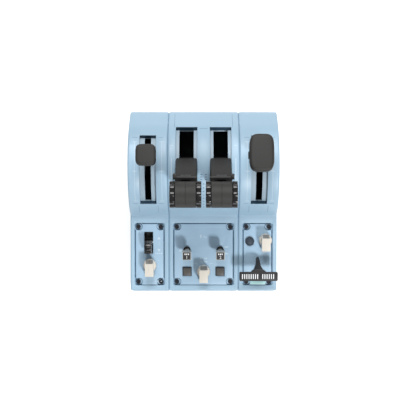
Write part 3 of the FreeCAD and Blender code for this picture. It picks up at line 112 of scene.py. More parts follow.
def surface(name, hex_code, roughness, grain_mm=0.5, bump_mm=0.02, tone=0.04, metallic=0.0,
            coat=0.0):
    """A moulded or finished surface: fine grain in its bump, faint cloudy changes of tone and
    gloss, all on Object coordinates in metres."""
    material = bpy.data.materials.new(name)
    material.use_nodes = True
    tree = material.node_tree
    shader = tree.nodes["Principled BSDF"]
    shader.inputs["Metallic"].default_value = metallic
    if not metallic:
        shader.inputs["IOR"].default_value = PLASTIC_IOR
    if coat:
        shader.inputs["Coat Weight"].default_value = coat
        shader.inputs["Coat Roughness"].default_value = COAT_ROUGHNESS
    place = add_node(tree, "ShaderNodeTexCoord").outputs["Object"]
    cloud = add_node(tree, "ShaderNodeTexNoise", {"Scale": 1 / (CLOUD_MM * MM), "Detail": 3.0},
                     {"Vector": place})
    base = colour(hex_code)[:3]
    tint = add_node(tree, "ShaderNodeMix", {"data_type": "RGBA"}, {"Factor": cloud.outputs["Fac"]})
    # The colour sockets of a Mix node share their names with its others, so they go by number.
    tint.inputs[6].default_value = (*(c * (1 - tone) for c in base), 1.0)
    tint.inputs[7].default_value = (*(min(1.0, c * (1 + tone)) for c in base), 1.0)
    tree.links.new(tint.outputs[2], shader.inputs["Base Color"])
    gloss = add_node(tree, "ShaderNodeMapRange",
                     {"To Min": roughness - GLOSS_CHANGE, "To Max": roughness + GLOSS_CHANGE},
                     {"Value": cloud.outputs["Fac"]})
    tree.links.new(gloss.outputs["Result"], shader.inputs["Roughness"])
    grain = add_node(tree, "ShaderNodeTexNoise", {"Scale": 1 / (grain_mm * MM), "Detail": 2.0},
                     {"Vector": place})
    bump = add_node(tree, "ShaderNodeBump", {"Strength": GRAIN_STRENGTH, "Distance": bump_mm * MM},
                    {"Height": grain.outputs["Fac"]})
    tree.links.new(bump.outputs["Normal"], shader.inputs["Normal"])
    return material


MATERIALS = {
    # Moulded ABS with a satin blue-grey lacquer: even colour and a soft wide highlight.
    "blue_case": surface("lacquered_abs_blue_grey", "#A3C1D6", roughness=0.42, grain_mm=0.7,
                         bump_mm=0.02, tone=0.03),
    # Powder-coated aluminium: the same blue-grey, a little deeper, with a fine orange-peel skin.
    "blue_plate": surface("powder_coated_aluminium_blue_grey", "#A4C2D9", roughness=0.48,
                          grain_mm=0.9, bump_mm=0.03, tone=0.03),
    # Plain moulded grey polycarbonate in the bottom of the lever slots: satin and even.
    "guide_grey": surface("moulded_polycarbonate_grey", "#A3B8C6", roughness=0.5, grain_mm=0.6),
    # Spark-eroded black ABS: matt, with a coarse even grain.
    "tray_black": surface("spark_finish_abs_black", "#1B1C1F", roughness=0.62, grain_mm=0.8,
                          bump_mm=0.05),
    # Glass-filled nylon of the arms: dark grey, slightly mottled.
    "lever_black": surface("glass_filled_nylon_dark_grey", "#222120", roughness=0.66, grain_mm=0.5,
                           bump_mm=0.03, tone=0.08),
    # Soft-touch paint on the grips: dark grey with a silky, wide highlight.
    "grip_grey": surface("soft_touch_paint_dark_grey", "#292827", roughness=0.62, grain_mm=0.4,
                         bump_mm=0.015, tone=0.05),
    # Polished black acetal of the ribbed rings: tight, bright highlights.
    "ring_black": surface("polished_acetal_black", "#101012", roughness=0.27, grain_mm=0.8,
                          bump_mm=0.01, tone=0.05, coat=0.3),
    # Off-white ABS of the knobs: semi-gloss, warm.
    "knob_ivory": surface("semi_gloss_abs_off_white", "#DAD5CB", roughness=0.34, grain_mm=0.8,
                          bump_mm=0.01, tone=0.02),
    # Satin ABS of the switch caps: a cool light grey with a soft highlight.
    "cap_grey": surface("satin_abs_light_grey", "#AEB2B0", roughness=0.45, grain_mm=0.6,
                        bump_mm=0.015, tone=0.03),
    # Satin polycarbonate of the keys: dark slate blue, a little glossier than the caps.
    "key_dark": surface("satin_polycarbonate_dark_blue_grey", "#36414D", roughness=0.4,
                        grain_mm=0.6, bump_mm=0.015, tone=0.04),
    # Painted zinc casting of the parking handle: near black, with a fine uneven skin.
    "handle_black": surface("painted_zinc_black", "#242325", roughness=0.5, grain_mm=0.6,
                            bump_mm=0.02, tone=0.06),
    # Drawn or stamped bright steel: a sharp metallic shine.
    "steel_bright": surface("stamped_steel_bright", "#B9BABC", roughness=0.3, grain_mm=0.3,
                            bump_mm=0.01, tone=0.05, metallic=1.0),
    # Black-oxide socket screws: blue-black with a low shine.
    "screw_black": surface("black_oxide_steel", "#1E232C", roughness=0.38, grain_mm=0.3,
                           bump_mm=0.01, tone=0.08),
    # Moulded rubber of the feet: dull black with hardly a highlight.
    "foot_rubber": surface("moulded_rubber_black", "#151515", roughness=0.8, grain_mm=0.9,
                           bump_mm=0.04),
    # Solder mask of the circuit boards: glossy deep green.
    "board_green": surface("solder_mask_green", "#0E5A2B", roughness=0.3, grain_mm=1.0,
                           bump_mm=0.01),
    # Plain moulded nylon of the switch modules and sensors: even satin black.
    "module_black": surface("moulded_nylon_black", "#191919", roughness=0.5, grain_mm=0.6),
}

for entry in frame["record"]["subparts"]:
    node = frame["nodes"][entry["node"]]
    node.data.materials.clear()
    node.data.materials.append(MATERIALS[entry["material_slot"]])


# ---------------------------------------------------------------- building and placing pieces

def corners(node_name):
    """A node's lowest and highest corners in mm."""
    low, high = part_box(node_name)
    return low / MM, high / MM


def x_edges(node_name):
    """A node's left and right edges in mm."""
    low, high = corners(node_name)
    return low.x, high.x


def add_piece(name, bm, slot, body, replaces=(), finish=None, smooth_angle=35, place=None):
    """Give a finished bmesh its place, finish and smooth shading, and let it ride on a body."""
    if place is not None:
        bmesh.ops.transform(bm, matrix=place, verts=bm.verts)
    mesh = bpy.data.meshes.new(name)
    bm.to_mesh(mesh)
    bm.free()
    mesh.materials.append(finish or MATERIALS[slot])
    mesh.shade_smooth()
    mesh.set_sharp_from_angle(angle=math.radians(smooth_angle))
    piece = bpy.data.objects.new(name, mesh)
    bpy.context.scene.collection.objects.link(piece)
    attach(piece, body)
    if replaces:
        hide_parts(*replaces)
    return piece


def joined(*parts):
    """Several bmeshes as one."""
    whole = bmesh.new()
    for part in parts:
        loose = bpy.data.meshes.new("loose")
        part.to_mesh(loose)
        part.free()
        whole.from_mesh(loose)
        bpy.data.meshes.remove(loose)
    return whole


def moved(bm, matrix):
    """A bmesh taken to another place."""
    bmesh.ops.transform(bm, matrix=matrix, verts=bm.verts)
    return bm


def round_edges(bm, edges, radius_mm, segments=3):
    """Round some edges, or as far as the faces beside them allow."""
    bmesh.ops.bevel(bm, geom=edges, offset=radius_mm * MM, offset_type="OFFSET", affect="EDGES",
                    segments=segments, profile=0.5, material=-1, clamp_overlap=True)


def runs_along(edge, axis):
    """Whether an edge lies along an axis: 0, 1 or 2 for X, Y or Z."""
    along = edge.verts[1].co - edge.verts[0].co
    return abs(along[axis]) > 0.99 * along.length


def sharp_edges(bm, angle):
    """The edges where two faces meet at more than an angle in degrees."""
    limit = math.radians(angle)
    return [edge for edge in bm.edges if edge.calc_face_angle(0) > limit]


def stand_up(bm, height):
    """Raise a flat outline into a closed solid, height in mm."""
    raised = bmesh.ops.extrude_face_region(bm, geom=list(bm.faces))
    lifted = [item for item in raised["geom"] if isinstance(item, bmesh.types.BMVert)]
    bmesh.ops.translate(bm, vec=(0, 0, height * MM), verts=lifted)
    bmesh.ops.recalc_face_normals(bm, faces=bm.faces)


CORNER_SEGMENTS = 8


def block(low, high, ease=0.2, corner=0.0, segments=2):
    """A box between two corners in mm: corner rounds its upright edges, ease softens the rest."""
    bm = bmesh.new()
    bmesh.ops.create_cube(bm, size=1)
    size = Vector(high) - Vector(low)
    middle = (Vector(high) + Vector(low)) / 2
    bmesh.ops.scale(bm, vec=size * MM, verts=bm.verts)
    if corner:
        round_edges(bm, [edge for edge in bm.edges if runs_along(edge, 2)], corner, CORNER_SEGMENTS)
    if ease:
        round_edges(bm, sharp_edges(bm, 60), ease, segments)
    bmesh.ops.translate(bm, vec=middle * MM, verts=bm.verts)
    return bm


def lathe(profile, steps=72):
    """A profile of (radius, height) points in mm, spun about Z."""
    bm = bmesh.new()
    points = [bm.verts.new((radius * MM, 0, height * MM)) for radius, height in profile]
    lines = [bm.edges.new(pair) for pair in zip(points, points[1:])]
    bmesh.ops.spin(bm, geom=points + lines, cent=(0, 0, 0), axis=(0, 0, 1), angle=2 * math.pi,
                   steps=steps, use_merge=True)
    bmesh.ops.remove_doubles(bm, verts=bm.verts, dist=MM / 1000)
    bmesh.ops.recalc_face_normals(bm, faces=bm.faces)
    return bm


def ring(inner, outer, low, high, steps):
    """A square-edged ring round Z, in mm."""
    return lathe([(inner, low), (outer, low), (outer, high), (inner, high), (inner, low)], steps)


LIE_ALONG_X = Matrix.Rotation(math.pi / 2, 4, "Y")

# The drum's curve ends at this lean in degrees and runs on straight for this many mm.
REAR_LEAN = 45
REAR_FLAT = 18.6

# A thin strip reaches this far into the face under it and stands this far off it, in mm.
STRIP_SUNK = 0.3
STRIP_PROUD = 0.04
STRIP_DEGREES_PER_STEP = 1.5


def drum_strip(x_low, x_high, lean_low, lean_high, low=-STRIP_SUNK, high=STRIP_PROUD):
    """A strip that follows the drum between two leans in degrees, proud of it by high mm."""
    bm = bmesh.new()
    near_face = DRUM_RADIUS + low * MM
    far_face = DRUM_RADIUS + high * MM
    ends = ((x_low, near_face), (x_high, near_face), (x_high, far_face), (x_low, far_face))
    points = [bm.verts.new((x * MM, 0, radius)) for x, radius in ends]
    section = bm.faces.new(points)
    steps = max(2, round(abs(lean_high - lean_low) / STRIP_DEGREES_PER_STEP))
    bmesh.ops.spin(bm, geom=[section, *section.edges, *points], cent=(0, 0, 0), axis=(1, 0, 0),
                   angle=math.radians(lean_low - lean_high), steps=steps)
    bmesh.ops.recalc_face_normals(bm, faces=bm.faces)
    return moved(bm, drum_frame(0, math.radians(lean_low)))


def drum_line(x, width, lean_low, lean_high):
    """A line round the drum, centred at x."""
    return drum_strip(x - width / 2, x + width / 2, lean_low, lean_high)


def rear_line(x, width):
    """The same line carried on along the flat that follows the drum at the rear."""
    strip = block((x - width / 2, 0, DRUM_RADIUS / MM - STRIP_SUNK),
                  (x + width / 2, REAR_FLAT, DRUM_RADIUS / MM + STRIP_PROUD), 0)
    return moved(strip, drum_frame(0, math.radians(REAR_LEAN)))


def eased_copy(node_name, radius_mm=0.25, sharp=40, segments=2):
    """A copy of a CAD node's mesh, merged, with its sharp edges softened as a mould leaves them."""
    bm = bmesh.new()
    bm.from_mesh(frame["nodes"][node_name].data)
    bmesh.ops.remove_doubles(bm, verts=bm.verts, dist=MM / 500)
    bmesh.ops.dissolve_limit(bm, angle_limit=math.radians(0.4), verts=bm.verts, edges=bm.edges)
    round_edges(bm, sharp_edges(bm, sharp), radius_mm, segments)
    return bm


UNITS = ("centre", "left", "right")
UNIT_X = {unit: sum(x_edges(unit + "_housing")) / 2 for unit in UNITS}

# Finishes that are laid on a piece and have no slot of their own.
# Screen-printed ink: flat and matt, with almost no grain.
WHITE_INK = surface("screen_printed_ink_white", "#EEF2F4", roughness=0.55, grain_mm=0.3,
                    bump_mm=0.01, tone=0.02)
PALE_INK = surface("screen_printed_ink_pale_blue", "#C6DAE8", roughness=0.55, grain_mm=0.3,
                   bump_mm=0.01, tone=0.02)
DARK_INK = surface("screen_printed_ink_blue_grey", "#5F7C93", roughness=0.55, grain_mm=0.3,
                   bump_mm=0.01, tone=0.02)
# Pad-printed ink on the switch caps, black and a little smoother; the same black is painted shade in the finger
# slots of the latches.
BLACK_INK_AND_SHADE = surface("pad_printed_ink_and_painted_shade_black", "#131216", roughness=0.5, grain_mm=0.3,
                    bump_mm=0.01, tone=0.03)
# Painted shade for the mould's parting grooves and the valleys where the units meet: the lacquer coloured dark and
# dull where the shade falls.
SEAM_SHADE = surface("painted_groove_shade_blue_grey", "#6B8AA3", roughness=0.7, grain_mm=0.4,
                     bump_mm=0.01, tone=0.02)
# Translucent acrylic over a pale light guide: mint, smooth and fairly glossy.
MINT_STRIP = surface("translucent_acrylic_pale_mint", "#B9E6E6", roughness=0.35, grain_mm=0.6,
                     bump_mm=0.01, tone=0.02)
# Smoked polycarbonate set in the keys: warm grey under a satin skin.
KEY_FACE = surface("smoked_polycarbonate_warm_grey", "#585653", roughness=0.42, grain_mm=0.5,
                   bump_mm=0.01, tone=0.03)
# Painted shade on the rear slopes of the knobs: warm grey, darker than the bar, with the ribs standing on it.
SLOPE_SHADE_GREY = surface("painted_slope_shade_warm_grey", "#8F8C87", roughness=0.5, grain_mm=0.5, bump_mm=0.02,
                     tone=0.03)
# Painted shade in the gaps round the control plates and in their screw pockets: dark blue and matt.
EDGE_SHADE = surface("painted_plate_gap_shade_dark_blue", "#2E5068", roughness=0.6, grain_mm=0.4,
                     bump_mm=0.01, tone=0.03)
# Painted shade on the end walls of the lever slots: dark teal with a low sheen.
END_SHADE = surface("painted_slot_wall_shade_dark_teal", "#1E3C50", roughness=0.55, grain_mm=0.5,
                    bump_mm=0.01, tone=0.03)


# ---------------------------------------------------------------- housings and what is on them

for unit in UNITS:
    node = unit + "_housing"
    shell = eased_copy(node, radius_mm=0.3, sharp=50)
    add_piece(unit + "_shell", shell, "blue_case", "base", [node], smooth_angle=30)
    node = unit + "_control_plate"
    face_plate = eased_copy(node, radius_mm=0.25, sharp=50)
    add_piece(unit + "_face_plate", face_plate, "blue_plate", "base", [node])

# The left and right edges of each lever slot.
thrust_edges = [x_edges("thrust_slot_guide_%d" % number) for number in (1, 2)]
side_edges = {"left": x_edges("speed_brake_slot_guide"), "right": x_edges("flap_slot_guide")}

# Painted shade along the parting lines of the moulds, as thin dark strips where the grooves' shade falls. They are
# SEAM wide in mm along the drum and as wide in degrees across it, and the side units' lines stop short of the
# flanks and of the slot.
SEAM = 0.35
REAR_SEAM = {"centre": 37.5, "left": 23.2, "right": 23.2}
FRONT_SEAM = -56.5
FRONT_SEAM_LENGTH = 13
FRONT_CROSS_SEAM = -53.5
SEAM_TO_FLANK = 5
SEAM_TO_SLOT = 0.8
BRIDGE_SEAM_TO_SLOT = 1
BRIDGE_SEAM_START = 35.4
BRIDGE_SEAM_END = 35.8

seams = {unit: [] for unit in UNITS}
for edge in (thrust_edges[0][0], thrust_edges[1][1]):
    seams["centre"].append(drum_line(edge, SEAM, REAR_SEAM["centre"], REAR_LEAN))
    seams["centre"].append(rear_line(edge, SEAM))
seams["centre"].append(drum_strip(thrust_edges[0][1] + BRIDGE_SEAM_TO_SLOT,
                                  thrust_edges[1][0] - BRIDGE_SEAM_TO_SLOT,
                                  BRIDGE_SEAM_START, BRIDGE_SEAM_END))
for unit, (left, right) in side_edges.items():
    flank_left, flank_right = x_edges(unit + "_housing")
    for low, high in ((flank_left + SEAM_TO_FLANK, left - SEAM_TO_SLOT),
                      (right + SEAM_TO_SLOT, flank_right - SEAM_TO_FLANK)):
        for lean in (REAR_SEAM[unit], FRONT_CROSS_SEAM):
            seams[unit].append(drum_strip(low, high, lean, lean + SEAM))
    for edge in (left, right):
        seams[unit].append(drum_line(edge, SEAM, FRONT_SEAM - FRONT_SEAM_LENGTH, FRONT_SEAM))
for unit in UNITS:
    add_piece(unit + "_parting_line_shade", joined(*seams[unit]), "blue_case", "base",
              finish=SEAM_SHADE)

# Printed scales beside the slots of the side units: a line with a stroke at each end and one
# between. Leans are in degrees, and how far the line stands out from each edge is in mm.
LINE = 0.45
LINE_OUT = {"left": (3.7, 5.0), "right": (2.9, 3.9)}
SCALE_FRONT = -49.7
SCALE_MIDDLE = -14.4
SCALE_REAR = 17.5
STROKE_TO_SLOT = 2.6
STROKE_FROM_SLOT = 2.2
STROKE_LEAN = 0.7
# Beside the thrust slots a short stroke and a broader line.
THRUST_STROKE_NEAR = 1.2
THRUST_STROKE_FAR = 4.4
THRUST_STROKE_START = 13.4
THRUST_STROKE_END = 14.0
THRUST_LINE_OUT = 3.0
THRUST_LINE_FRONT = -24.0
THRUST_LINE_REAR = -0.5

scales = {unit: [] for unit in UNITS}
for unit, (left, right) in side_edges.items():
    for side, edge, out in ((-1, left, LINE_OUT[unit][0]), (1, right, LINE_OUT[unit][1])):
        line_x = edge + side * out
        scales[unit].append(drum_line(line_x, LINE, SCALE_FRONT, SCALE_REAR))
        for lean in (SCALE_REAR, SCALE_MIDDLE, SCALE_FRONT):
            left_end, right_end = sorted((line_x - side * STROKE_TO_SLOT,
                                          line_x + side * STROKE_FROM_SLOT))
            scales[unit].append(drum_strip(left_end, right_end, lean, lean + STROKE_LEAN))
for edge, side in ((thrust_edges[0][0], -1), (thrust_edges[1][1], 1)):
    left_end, right_end = sorted((edge + side * THRUST_STROKE_NEAR,
                                  edge + side * THRUST_STROKE_FAR))
    scales["centre"].append(drum_strip(left_end, right_end, THRUST_STROKE_START,
                                       THRUST_STROKE_END))
    scales["centre"].append(drum_line(edge + side * THRUST_LINE_OUT, 2 * LINE, THRUST_LINE_FRONT,
                                      THRUST_LINE_REAR))
for unit in UNITS:
    add_piece(unit + "_printed_scale", joined(*scales[unit]), "knob_ivory", "base",
              finish=PALE_INK)

# The thrust scale between the slots: a ladder of ticks, and dashes in pairs behind it.
TICKS = 8
TICK_WIDTH = 1.6
TICK_LEAN = 0.9
TICK_START = -28.5
TICK_PITCH = 4.4
DASH_ROWS = 3
DASH_OUT = 2.6
DASH_WIDTH = 2.4
DASH_LEAN = 0.8
DASH_START = -18.1
DASH_PITCH = 2.6

ticks = []
for step in range(TICKS):
    lean = TICK_START - step * TICK_PITCH
    ticks.append(drum_line(0, TICK_WIDTH, lean, lean + TICK_LEAN))
for row in range(DASH_ROWS):
    lean = DASH_START - row * DASH_PITCH
    for side in (-1, 1):
        ticks.append(drum_line(side * DASH_OUT, DASH_WIDTH, lean, lean + DASH_LEAN))
add_piece("thrust_scale_ticks", joined(*ticks), "blue_case", "base", finish=DARK_INK)


# ---------------------------------------------------------------- thrust levers and grips

THRUST_UP = Vector(JOINTS["lift_latch_1_lift"]["axis"]).normalized()
THRUST_BACK = THRUST_UP.cross(X_AXIS)


def lever_frame(number, radius=0.0):
    """A place out along a thrust lever: its Z points outwards and its Y to the rear."""
    spot = joint_point("thrust_lever_%d_pivot" % number) + THRUST_UP * radius
    turned_axes = Matrix((X_AXIS, THRUST_BACK, THRUST_UP)).transposed().to_4x4()
    return Matrix.Translation(spot) @ turned_axes


def grip_barrel(length, radius):
    """A barrel on X with a fine groove round its middle and softened ends, in mm. Its end faces
    reach inwards to the tube that the rings ride on."""
    groove, soft, hair, end_reach = 0.25, 0.5, 0.01, 5.2
    half = length / 2
    inner = radius - end_reach
    right_side = [(radius, groove), (radius, half - soft), (radius - soft, half - 2 * hair),
                  (inner, half - hair), (inner, half), (0, half)]
    left_side = [(reach, -along) for reach, along in reversed(right_side)]
    return moved(lathe([*left_side, (radius - groove, 0), *right_side], 96), LIE_ALONG_X)


def grip_tube(length):
    """The tube that carries a grip's barrel and rings, with chamfered ends just inside them."""
    radius, chamfer, sunk = 9.0, 0.4, 0.8
    end = length / 2 - sunk
    right_side = [(radius, end - chamfer), (radius - chamfer, end), (0, end)]
    left_side = [(reach, -along) for reach, along in reversed(right_side)]
    return moved(lathe([*left_side, *right_side]), LIE_ALONG_X)


RING_WIDTH = 5.6
RING_GAP = 0.2
RING_LOBES = 10
LOBE_DEPTH = 1.5
LOBE_FULLNESS = 0.6
LOBE_STEPS = 12
LOBE_EASE = 0.7


def lobed_ring(radius, width):
    """A glossy ring on X with rounded lobes round its rim."""
    bm = bmesh.new()
    made = bmesh.ops.create_circle(bm, cap_ends=True, radius=radius * MM,
                                   segments=RING_LOBES * LOBE_STEPS)
    for vert in made["verts"]:
        angle = math.atan2(vert.co.y, vert.co.x) + math.pi / 2
        wave = (0.5 + 0.5 * math.cos(RING_LOBES * angle)) ** LOBE_FULLNESS
        vert.co *= (radius - LOBE_DEPTH * (1 - wave)) / radius
    stand_up(bm, width)
    round_edges(bm, sharp_edges(bm, 60), LOBE_EASE)
    bmesh.ops.translate(bm, vec=(0, 0, -width / 2 * MM), verts=bm.verts)
    return moved(bm, LIE_ALONG_X)


# A latch's finger slot lies in the top of its paddle, behind the paddle's near side. A flat black strip paints the
# slot's shade there.
LATCH_NEAR = 15.2
LATCH_TOP = DRUM_RADIUS / MM + 49.5
FINGER_SLOT_HALF = 8.3
FINGER_SLOT_START = 0.1
FINGER_SLOT_END = 1.9

for number in (1, 2):
    body = "thrust_lever_%d" % number
    button = "release_button_%d" % number
    latch = "lift_latch_%d" % number
    grip_low, grip_high = corners("thrust_grip_%d" % number)
    ring_low, ring_high = corners("grip_rings_%d" % number)
    pivot = joint_point(body + "_pivot") / MM
    grip_out = ((grip_low + grip_high) / 2 - pivot).dot(THRUST_UP)
    grip_radius = (grip_high.z - grip_low.z) / 2
    ring_radius = (ring_high.z - ring_low.z) / 2
    length = ring_high.x - ring_low.x
    at_grip = lever_frame(number, grip_out * MM)

    add_piece("thrust_arm_%d" % number, eased_copy(body, radius_mm=0.5), "lever_black", body,
              [body])
    barrel = grip_barrel(length - 2 * RING_WIDTH - RING_GAP, grip_radius)
    add_piece("thrust_grip_barrel_%d" % number, joined(barrel, grip_tube(length)), "grip_grey",
              body, ["thrust_grip_%d" % number], place=at_grip)
    rings = []
    for side in (-1, 1):
        at_end = Matrix.Translation((side * (length - RING_WIDTH) / 2 * MM, 0, 0))
        rings.append(moved(lobed_ring(ring_radius, RING_WIDTH - RING_GAP), at_end))
    add_piece("thrust_grip_lobes_%d" % number, joined(*rings), "ring_black", body,
              ["grip_rings_%d" % number], place=at_grip)
    add_piece("thrust_release_%d" % number, eased_copy(button, radius_mm=0.4), "ring_black", button,
              [button])
    add_piece("reverse_latch_%d" % number, eased_copy(latch, radius_mm=0.4), "grip_grey", latch,
              [latch])
    finger_slot = block(
        (-FINGER_SLOT_HALF, LATCH_NEAR + FINGER_SLOT_START, LATCH_TOP - STRIP_SUNK),
        (FINGER_SLOT_HALF, LATCH_NEAR + FINGER_SLOT_END, LATCH_TOP + STRIP_PROUD), 0)
    add_piece("reverse_latch_slot_%d" % number, finger_slot, "grip_grey", latch,
              finish=BLACK_INK_AND_SHADE, place=lever_frame(number))


# ---------------------------------------------------------------- speed-brake and flap levers

def pillow(size_x, size_y, low, high, squareness, ease):
    """A block with bulging sides and rounded rims, in mm; squareness 2 is an ellipse."""
    bm = bmesh.new()
    made = bmesh.ops.create_circle(bm, cap_ends=True, radius=1, segments=72)
    for vert in made["verts"]:
        across, along = vert.co.x, vert.co.y
        shrink = (abs(across) ** squareness + abs(along) ** squareness) ** (1 / squareness)
        vert.co = Vector((across / shrink * size_x / 2, along / shrink * size_y / 2, low)) * MM
    stand_up(bm, high - low)
    round_edges(bm, sharp_edges(bm, 60), ease, 6)
    return bm


def knob_levels(node_name, lean):
    """How far out from the drum's axis a knob's underside and top stand, in mm."""
    turn_back = drum_frame(0, math.radians(lean)).inverted()
    heights = [(turn_back @ vert.co).z / MM for vert in frame["nodes"][node_name].data.vertices]
    return min(heights), max(heights)


SIDE_KNOBS = {
    "speed_brake": {"node": "speed_brake_knob", "lever": "speed_brake_lever", "unit": "left",
                    "lean": -1.0, "width": 22.3, "depth": 23.4, "squareness": 4.4, "ease": 3.2},
    "flap": {"node": "flap_knob", "lever": "flap_lever", "unit": "right",
             "lean": 0.0, "width": 27.0, "depth": 41.0, "squareness": 4.0, "ease": 3.6},
}
for name, knob in SIDE_KNOBS.items():
    low, high = knob_levels(knob["node"], knob["lean"])
    seat = drum_frame(UNIT_X[knob["unit"]] * MM, math.radians(knob["lean"]))
    pad = pillow(knob["width"], knob["depth"], low, high, knob["squareness"], knob["ease"])
    add_piece(name + "_handle_pad", pad, "grip_grey", knob["lever"], [knob["node"]], place=seat)
    blade = eased_copy(knob["lever"], radius_mm=0.3)
    add_piece(name + "_blade", blade, "lever_black", knob["lever"], [knob["lever"]])
add_piece("flap_detent_collar", eased_copy("flap_latch_collar", radius_mm=0.5), "grip_grey",
          "flap_latch", ["flap_latch_collar"])


# ---------------------------------------------------------------- toggles and keys

# A font's size for each mm of a numeral's height, and how thick the print is.
FONT_SIZE_PER_HEIGHT = 1.4
PRINT_THICKNESS = 0.06


def numeral(text, height_mm):
    """A plain numeral as a thin closed mesh lying flat, centred on the origin."""
    curve = bpy.data.curves.new("numeral_" + text, "FONT")
    curve.body = text
    curve.size = height_mm * MM * FONT_SIZE_PER_HEIGHT
    curve.align_x = "CENTER"
    curve.align_y = "CENTER"
    curve.extrude = PRINT_THICKNESS * MM
    written = bpy.data.objects.new("numeral_" + text, curve)
    bpy.context.scene.collection.objects.link(written)
    bpy.context.view_layer.update()
    mesh = bpy.data.meshes.new_from_object(written)
    bpy.data.objects.remove(written)
    bm = bmesh.new()
    bm.from_mesh(mesh)
    bpy.data.meshes.remove(mesh)
    bmesh.ops.remove_doubles(bm, verts=bm.verts, dist=MM / 10000)
    return bm


# Places up the slope of the control plates, and heights off the deck.
SWITCH_RUN = 47.4
KEY_RUN = 22.2
PLATE_TOP = -0.5
SWITCH_LEAN = math.radians(12.5)
CAP_TOP = 22.0

# A switch cap's black face, with a numeral and three blocks printed above it.
FACE_CORNER = 0.4
CAP_FACE_HALF = 4.4
CAP_FACE_SUNK = 0.7
CAP_FACE_PROUD = 0.03
NUMERAL_HEIGHT = 3.6
NUMERAL_RUN = -1.8
NUMERAL_LIFT = 0.05
BLOCK_PITCH = 2.0
BLOCK_HALF = 0.65
BLOCK_START = 1.3
BLOCK_END = 3.0
BLOCK_SUNK = 0.1
BLOCK_PROUD = 0.08

# A key's smoked face.
KEY_FACE_HALF = 4.25
KEY_FACE_LOW = 1.3
KEY_FACE_HIGH = 1.66
KEY_FACE_EASE = 0.1

for number in (1, 2):
    switch = "engine_switch_%d" % number
    x = joint_point(switch + "_throw").x
    seat = deck_frame(x, SWITCH_RUN * MM, PLATE_TOP * MM, SWITCH_LEAN)
    add_piece(switch + "_cap", eased_copy(switch, radius_mm=0.25), "cap_grey", switch, [switch])
    face = block((-CAP_FACE_HALF, -CAP_FACE_HALF, CAP_TOP - CAP_FACE_SUNK),
                 (CAP_FACE_HALF, CAP_FACE_HALF, CAP_TOP + CAP_FACE_PROUD), 0, FACE_CORNER)
    add_piece(switch + "_face", face, "cap_grey", switch, finish=BLACK_INK_AND_SHADE, place=seat)
    numeral_place = Matrix.Translation(Vector((0, NUMERAL_RUN, CAP_TOP + NUMERAL_LIFT)) * MM)
    marks = [moved(numeral(str(number), NUMERAL_HEIGHT), numeral_place)]
    for step in (-1, 0, 1):
        middle = step * BLOCK_PITCH
        marks.append(block((middle - BLOCK_HALF, BLOCK_START, CAP_TOP - BLOCK_SUNK),
                           (middle + BLOCK_HALF, BLOCK_END, CAP_TOP + BLOCK_PROUD), 0))
    add_piece(switch + "_numeral", joined(*marks), "cap_grey", switch, finish=WHITE_INK,
              place=seat)

    key = "selector_key_%d" % number
    seat = deck_frame(x, KEY_RUN * MM)
    add_piece(key + "_cap", eased_copy(key, radius_mm=0.25), "key_dark", key, [key])
    face = block((-KEY_FACE_HALF, -KEY_FACE_HALF, KEY_FACE_LOW),
                 (KEY_FACE_HALF, KEY_FACE_HALF, KEY_FACE_HIGH), KEY_FACE_EASE, FACE_CORNER)
    add_piece(key + "_face", face, "key_dark", key, finish=KEY_FACE, place=seat)
# The nuts are blacked and polished, so they look like the rings.
add_piece("switch_nuts", eased_copy("switch_bushes", radius_mm=0.5, sharp=50, segments=3),
          "steel_bright", "base", ["switch_bushes"], finish=MATERIALS["ring_black"])


# ---------------------------------------------------------------- bar knobs

# Each knob's joint, and its place up the slope.
BAR_KNOBS = {"mode_knob": {"joint": "mode_knob_turn", "run": 22.5},
             "brake_level_knob": {"joint": "brake_level_turn", "run": 29.7},
             "trim_knob": {"joint": "trim_knob_turn", "run": 59.1}}
SKIRT_RADIUS = 7.75
SKIRT_RIM = 0.4
SKIRT_SHOULDER = 5.5
SKIRT_TOP = 6.0
SKIRT_TAPER = 0.5
SHAFT_RADIUS = 3.0
SHAFT_FOOT = -8.0

# The grip bar, seen from the side: level from its front to its crest, then sloping to its rear.
BAR_HALF = 4.9
BAR_FRONT = -11.5
BAR_REAR = 8.0
BAR_LOW = 2.5
BAR_TOP = 17.5
BAR_CREST = 3.0
BAR_REAR_TOP = 7.0
BAR_ROUND_STEPS = 24
BAR_EASE = 0.7
SLOPE_ALONG = BAR_REAR - BAR_CREST
SLOPE_DROP = BAR_TOP - BAR_REAR_TOP


def bar_grip():
    """A grip bar: square and upright towards the user, half round and sloping down at the rear."""
    bm = bmesh.new()
    points = [bm.verts.new((side * BAR_HALF * MM, BAR_FRONT * MM, 0)) for side in (-1, 1)]
    for step in range(BAR_ROUND_STEPS + 1):
        angle = math.pi * step / BAR_ROUND_STEPS
        across = math.cos(angle) * BAR_HALF
        along = BAR_REAR - BAR_HALF + math.sin(angle) * BAR_HALF
        points.append(bm.verts.new((across * MM, along * MM, 0)))
    bm.faces.new(points)
    stand_up(bm, BAR_TOP - BAR_LOW)
    bmesh.ops.translate(bm, vec=(0, 0, BAR_LOW * MM), verts=bm.verts)
    off_slope = Vector((0, SLOPE_DROP, SLOPE_ALONG)).normalized()
    geometry = [*bm.verts, *bm.edges, *bm.faces]
    cut = bmesh.ops.bisect_plane(bm, geom=geometry, plane_co=Vector((0, BAR_CREST, BAR_TOP)) * MM,
                                 plane_no=off_slope, clear_outer=True)
    edges = [item for item in cut["geom_cut"] if isinstance(item, bmesh.types.BMEdge)]
    bmesh.ops.contextual_create(bm, geom=edges)
    bmesh.ops.recalc_face_normals(bm, faces=bm.faces)
    round_edges(bm, sharp_edges(bm, 32), BAR_EASE)
    return bm


# Three fine ridges on the bar's level top.
RIDGE_PITCH = 0.9
RIDGE_HALF = 0.16
RIDGE_SUNK = 0.3
RIDGE_PROUD = 0.12
RIDGE_EASE = 0.06
RIDGE_FROM_FRONT = 1.2
RIDGE_FROM_CREST = 1.0


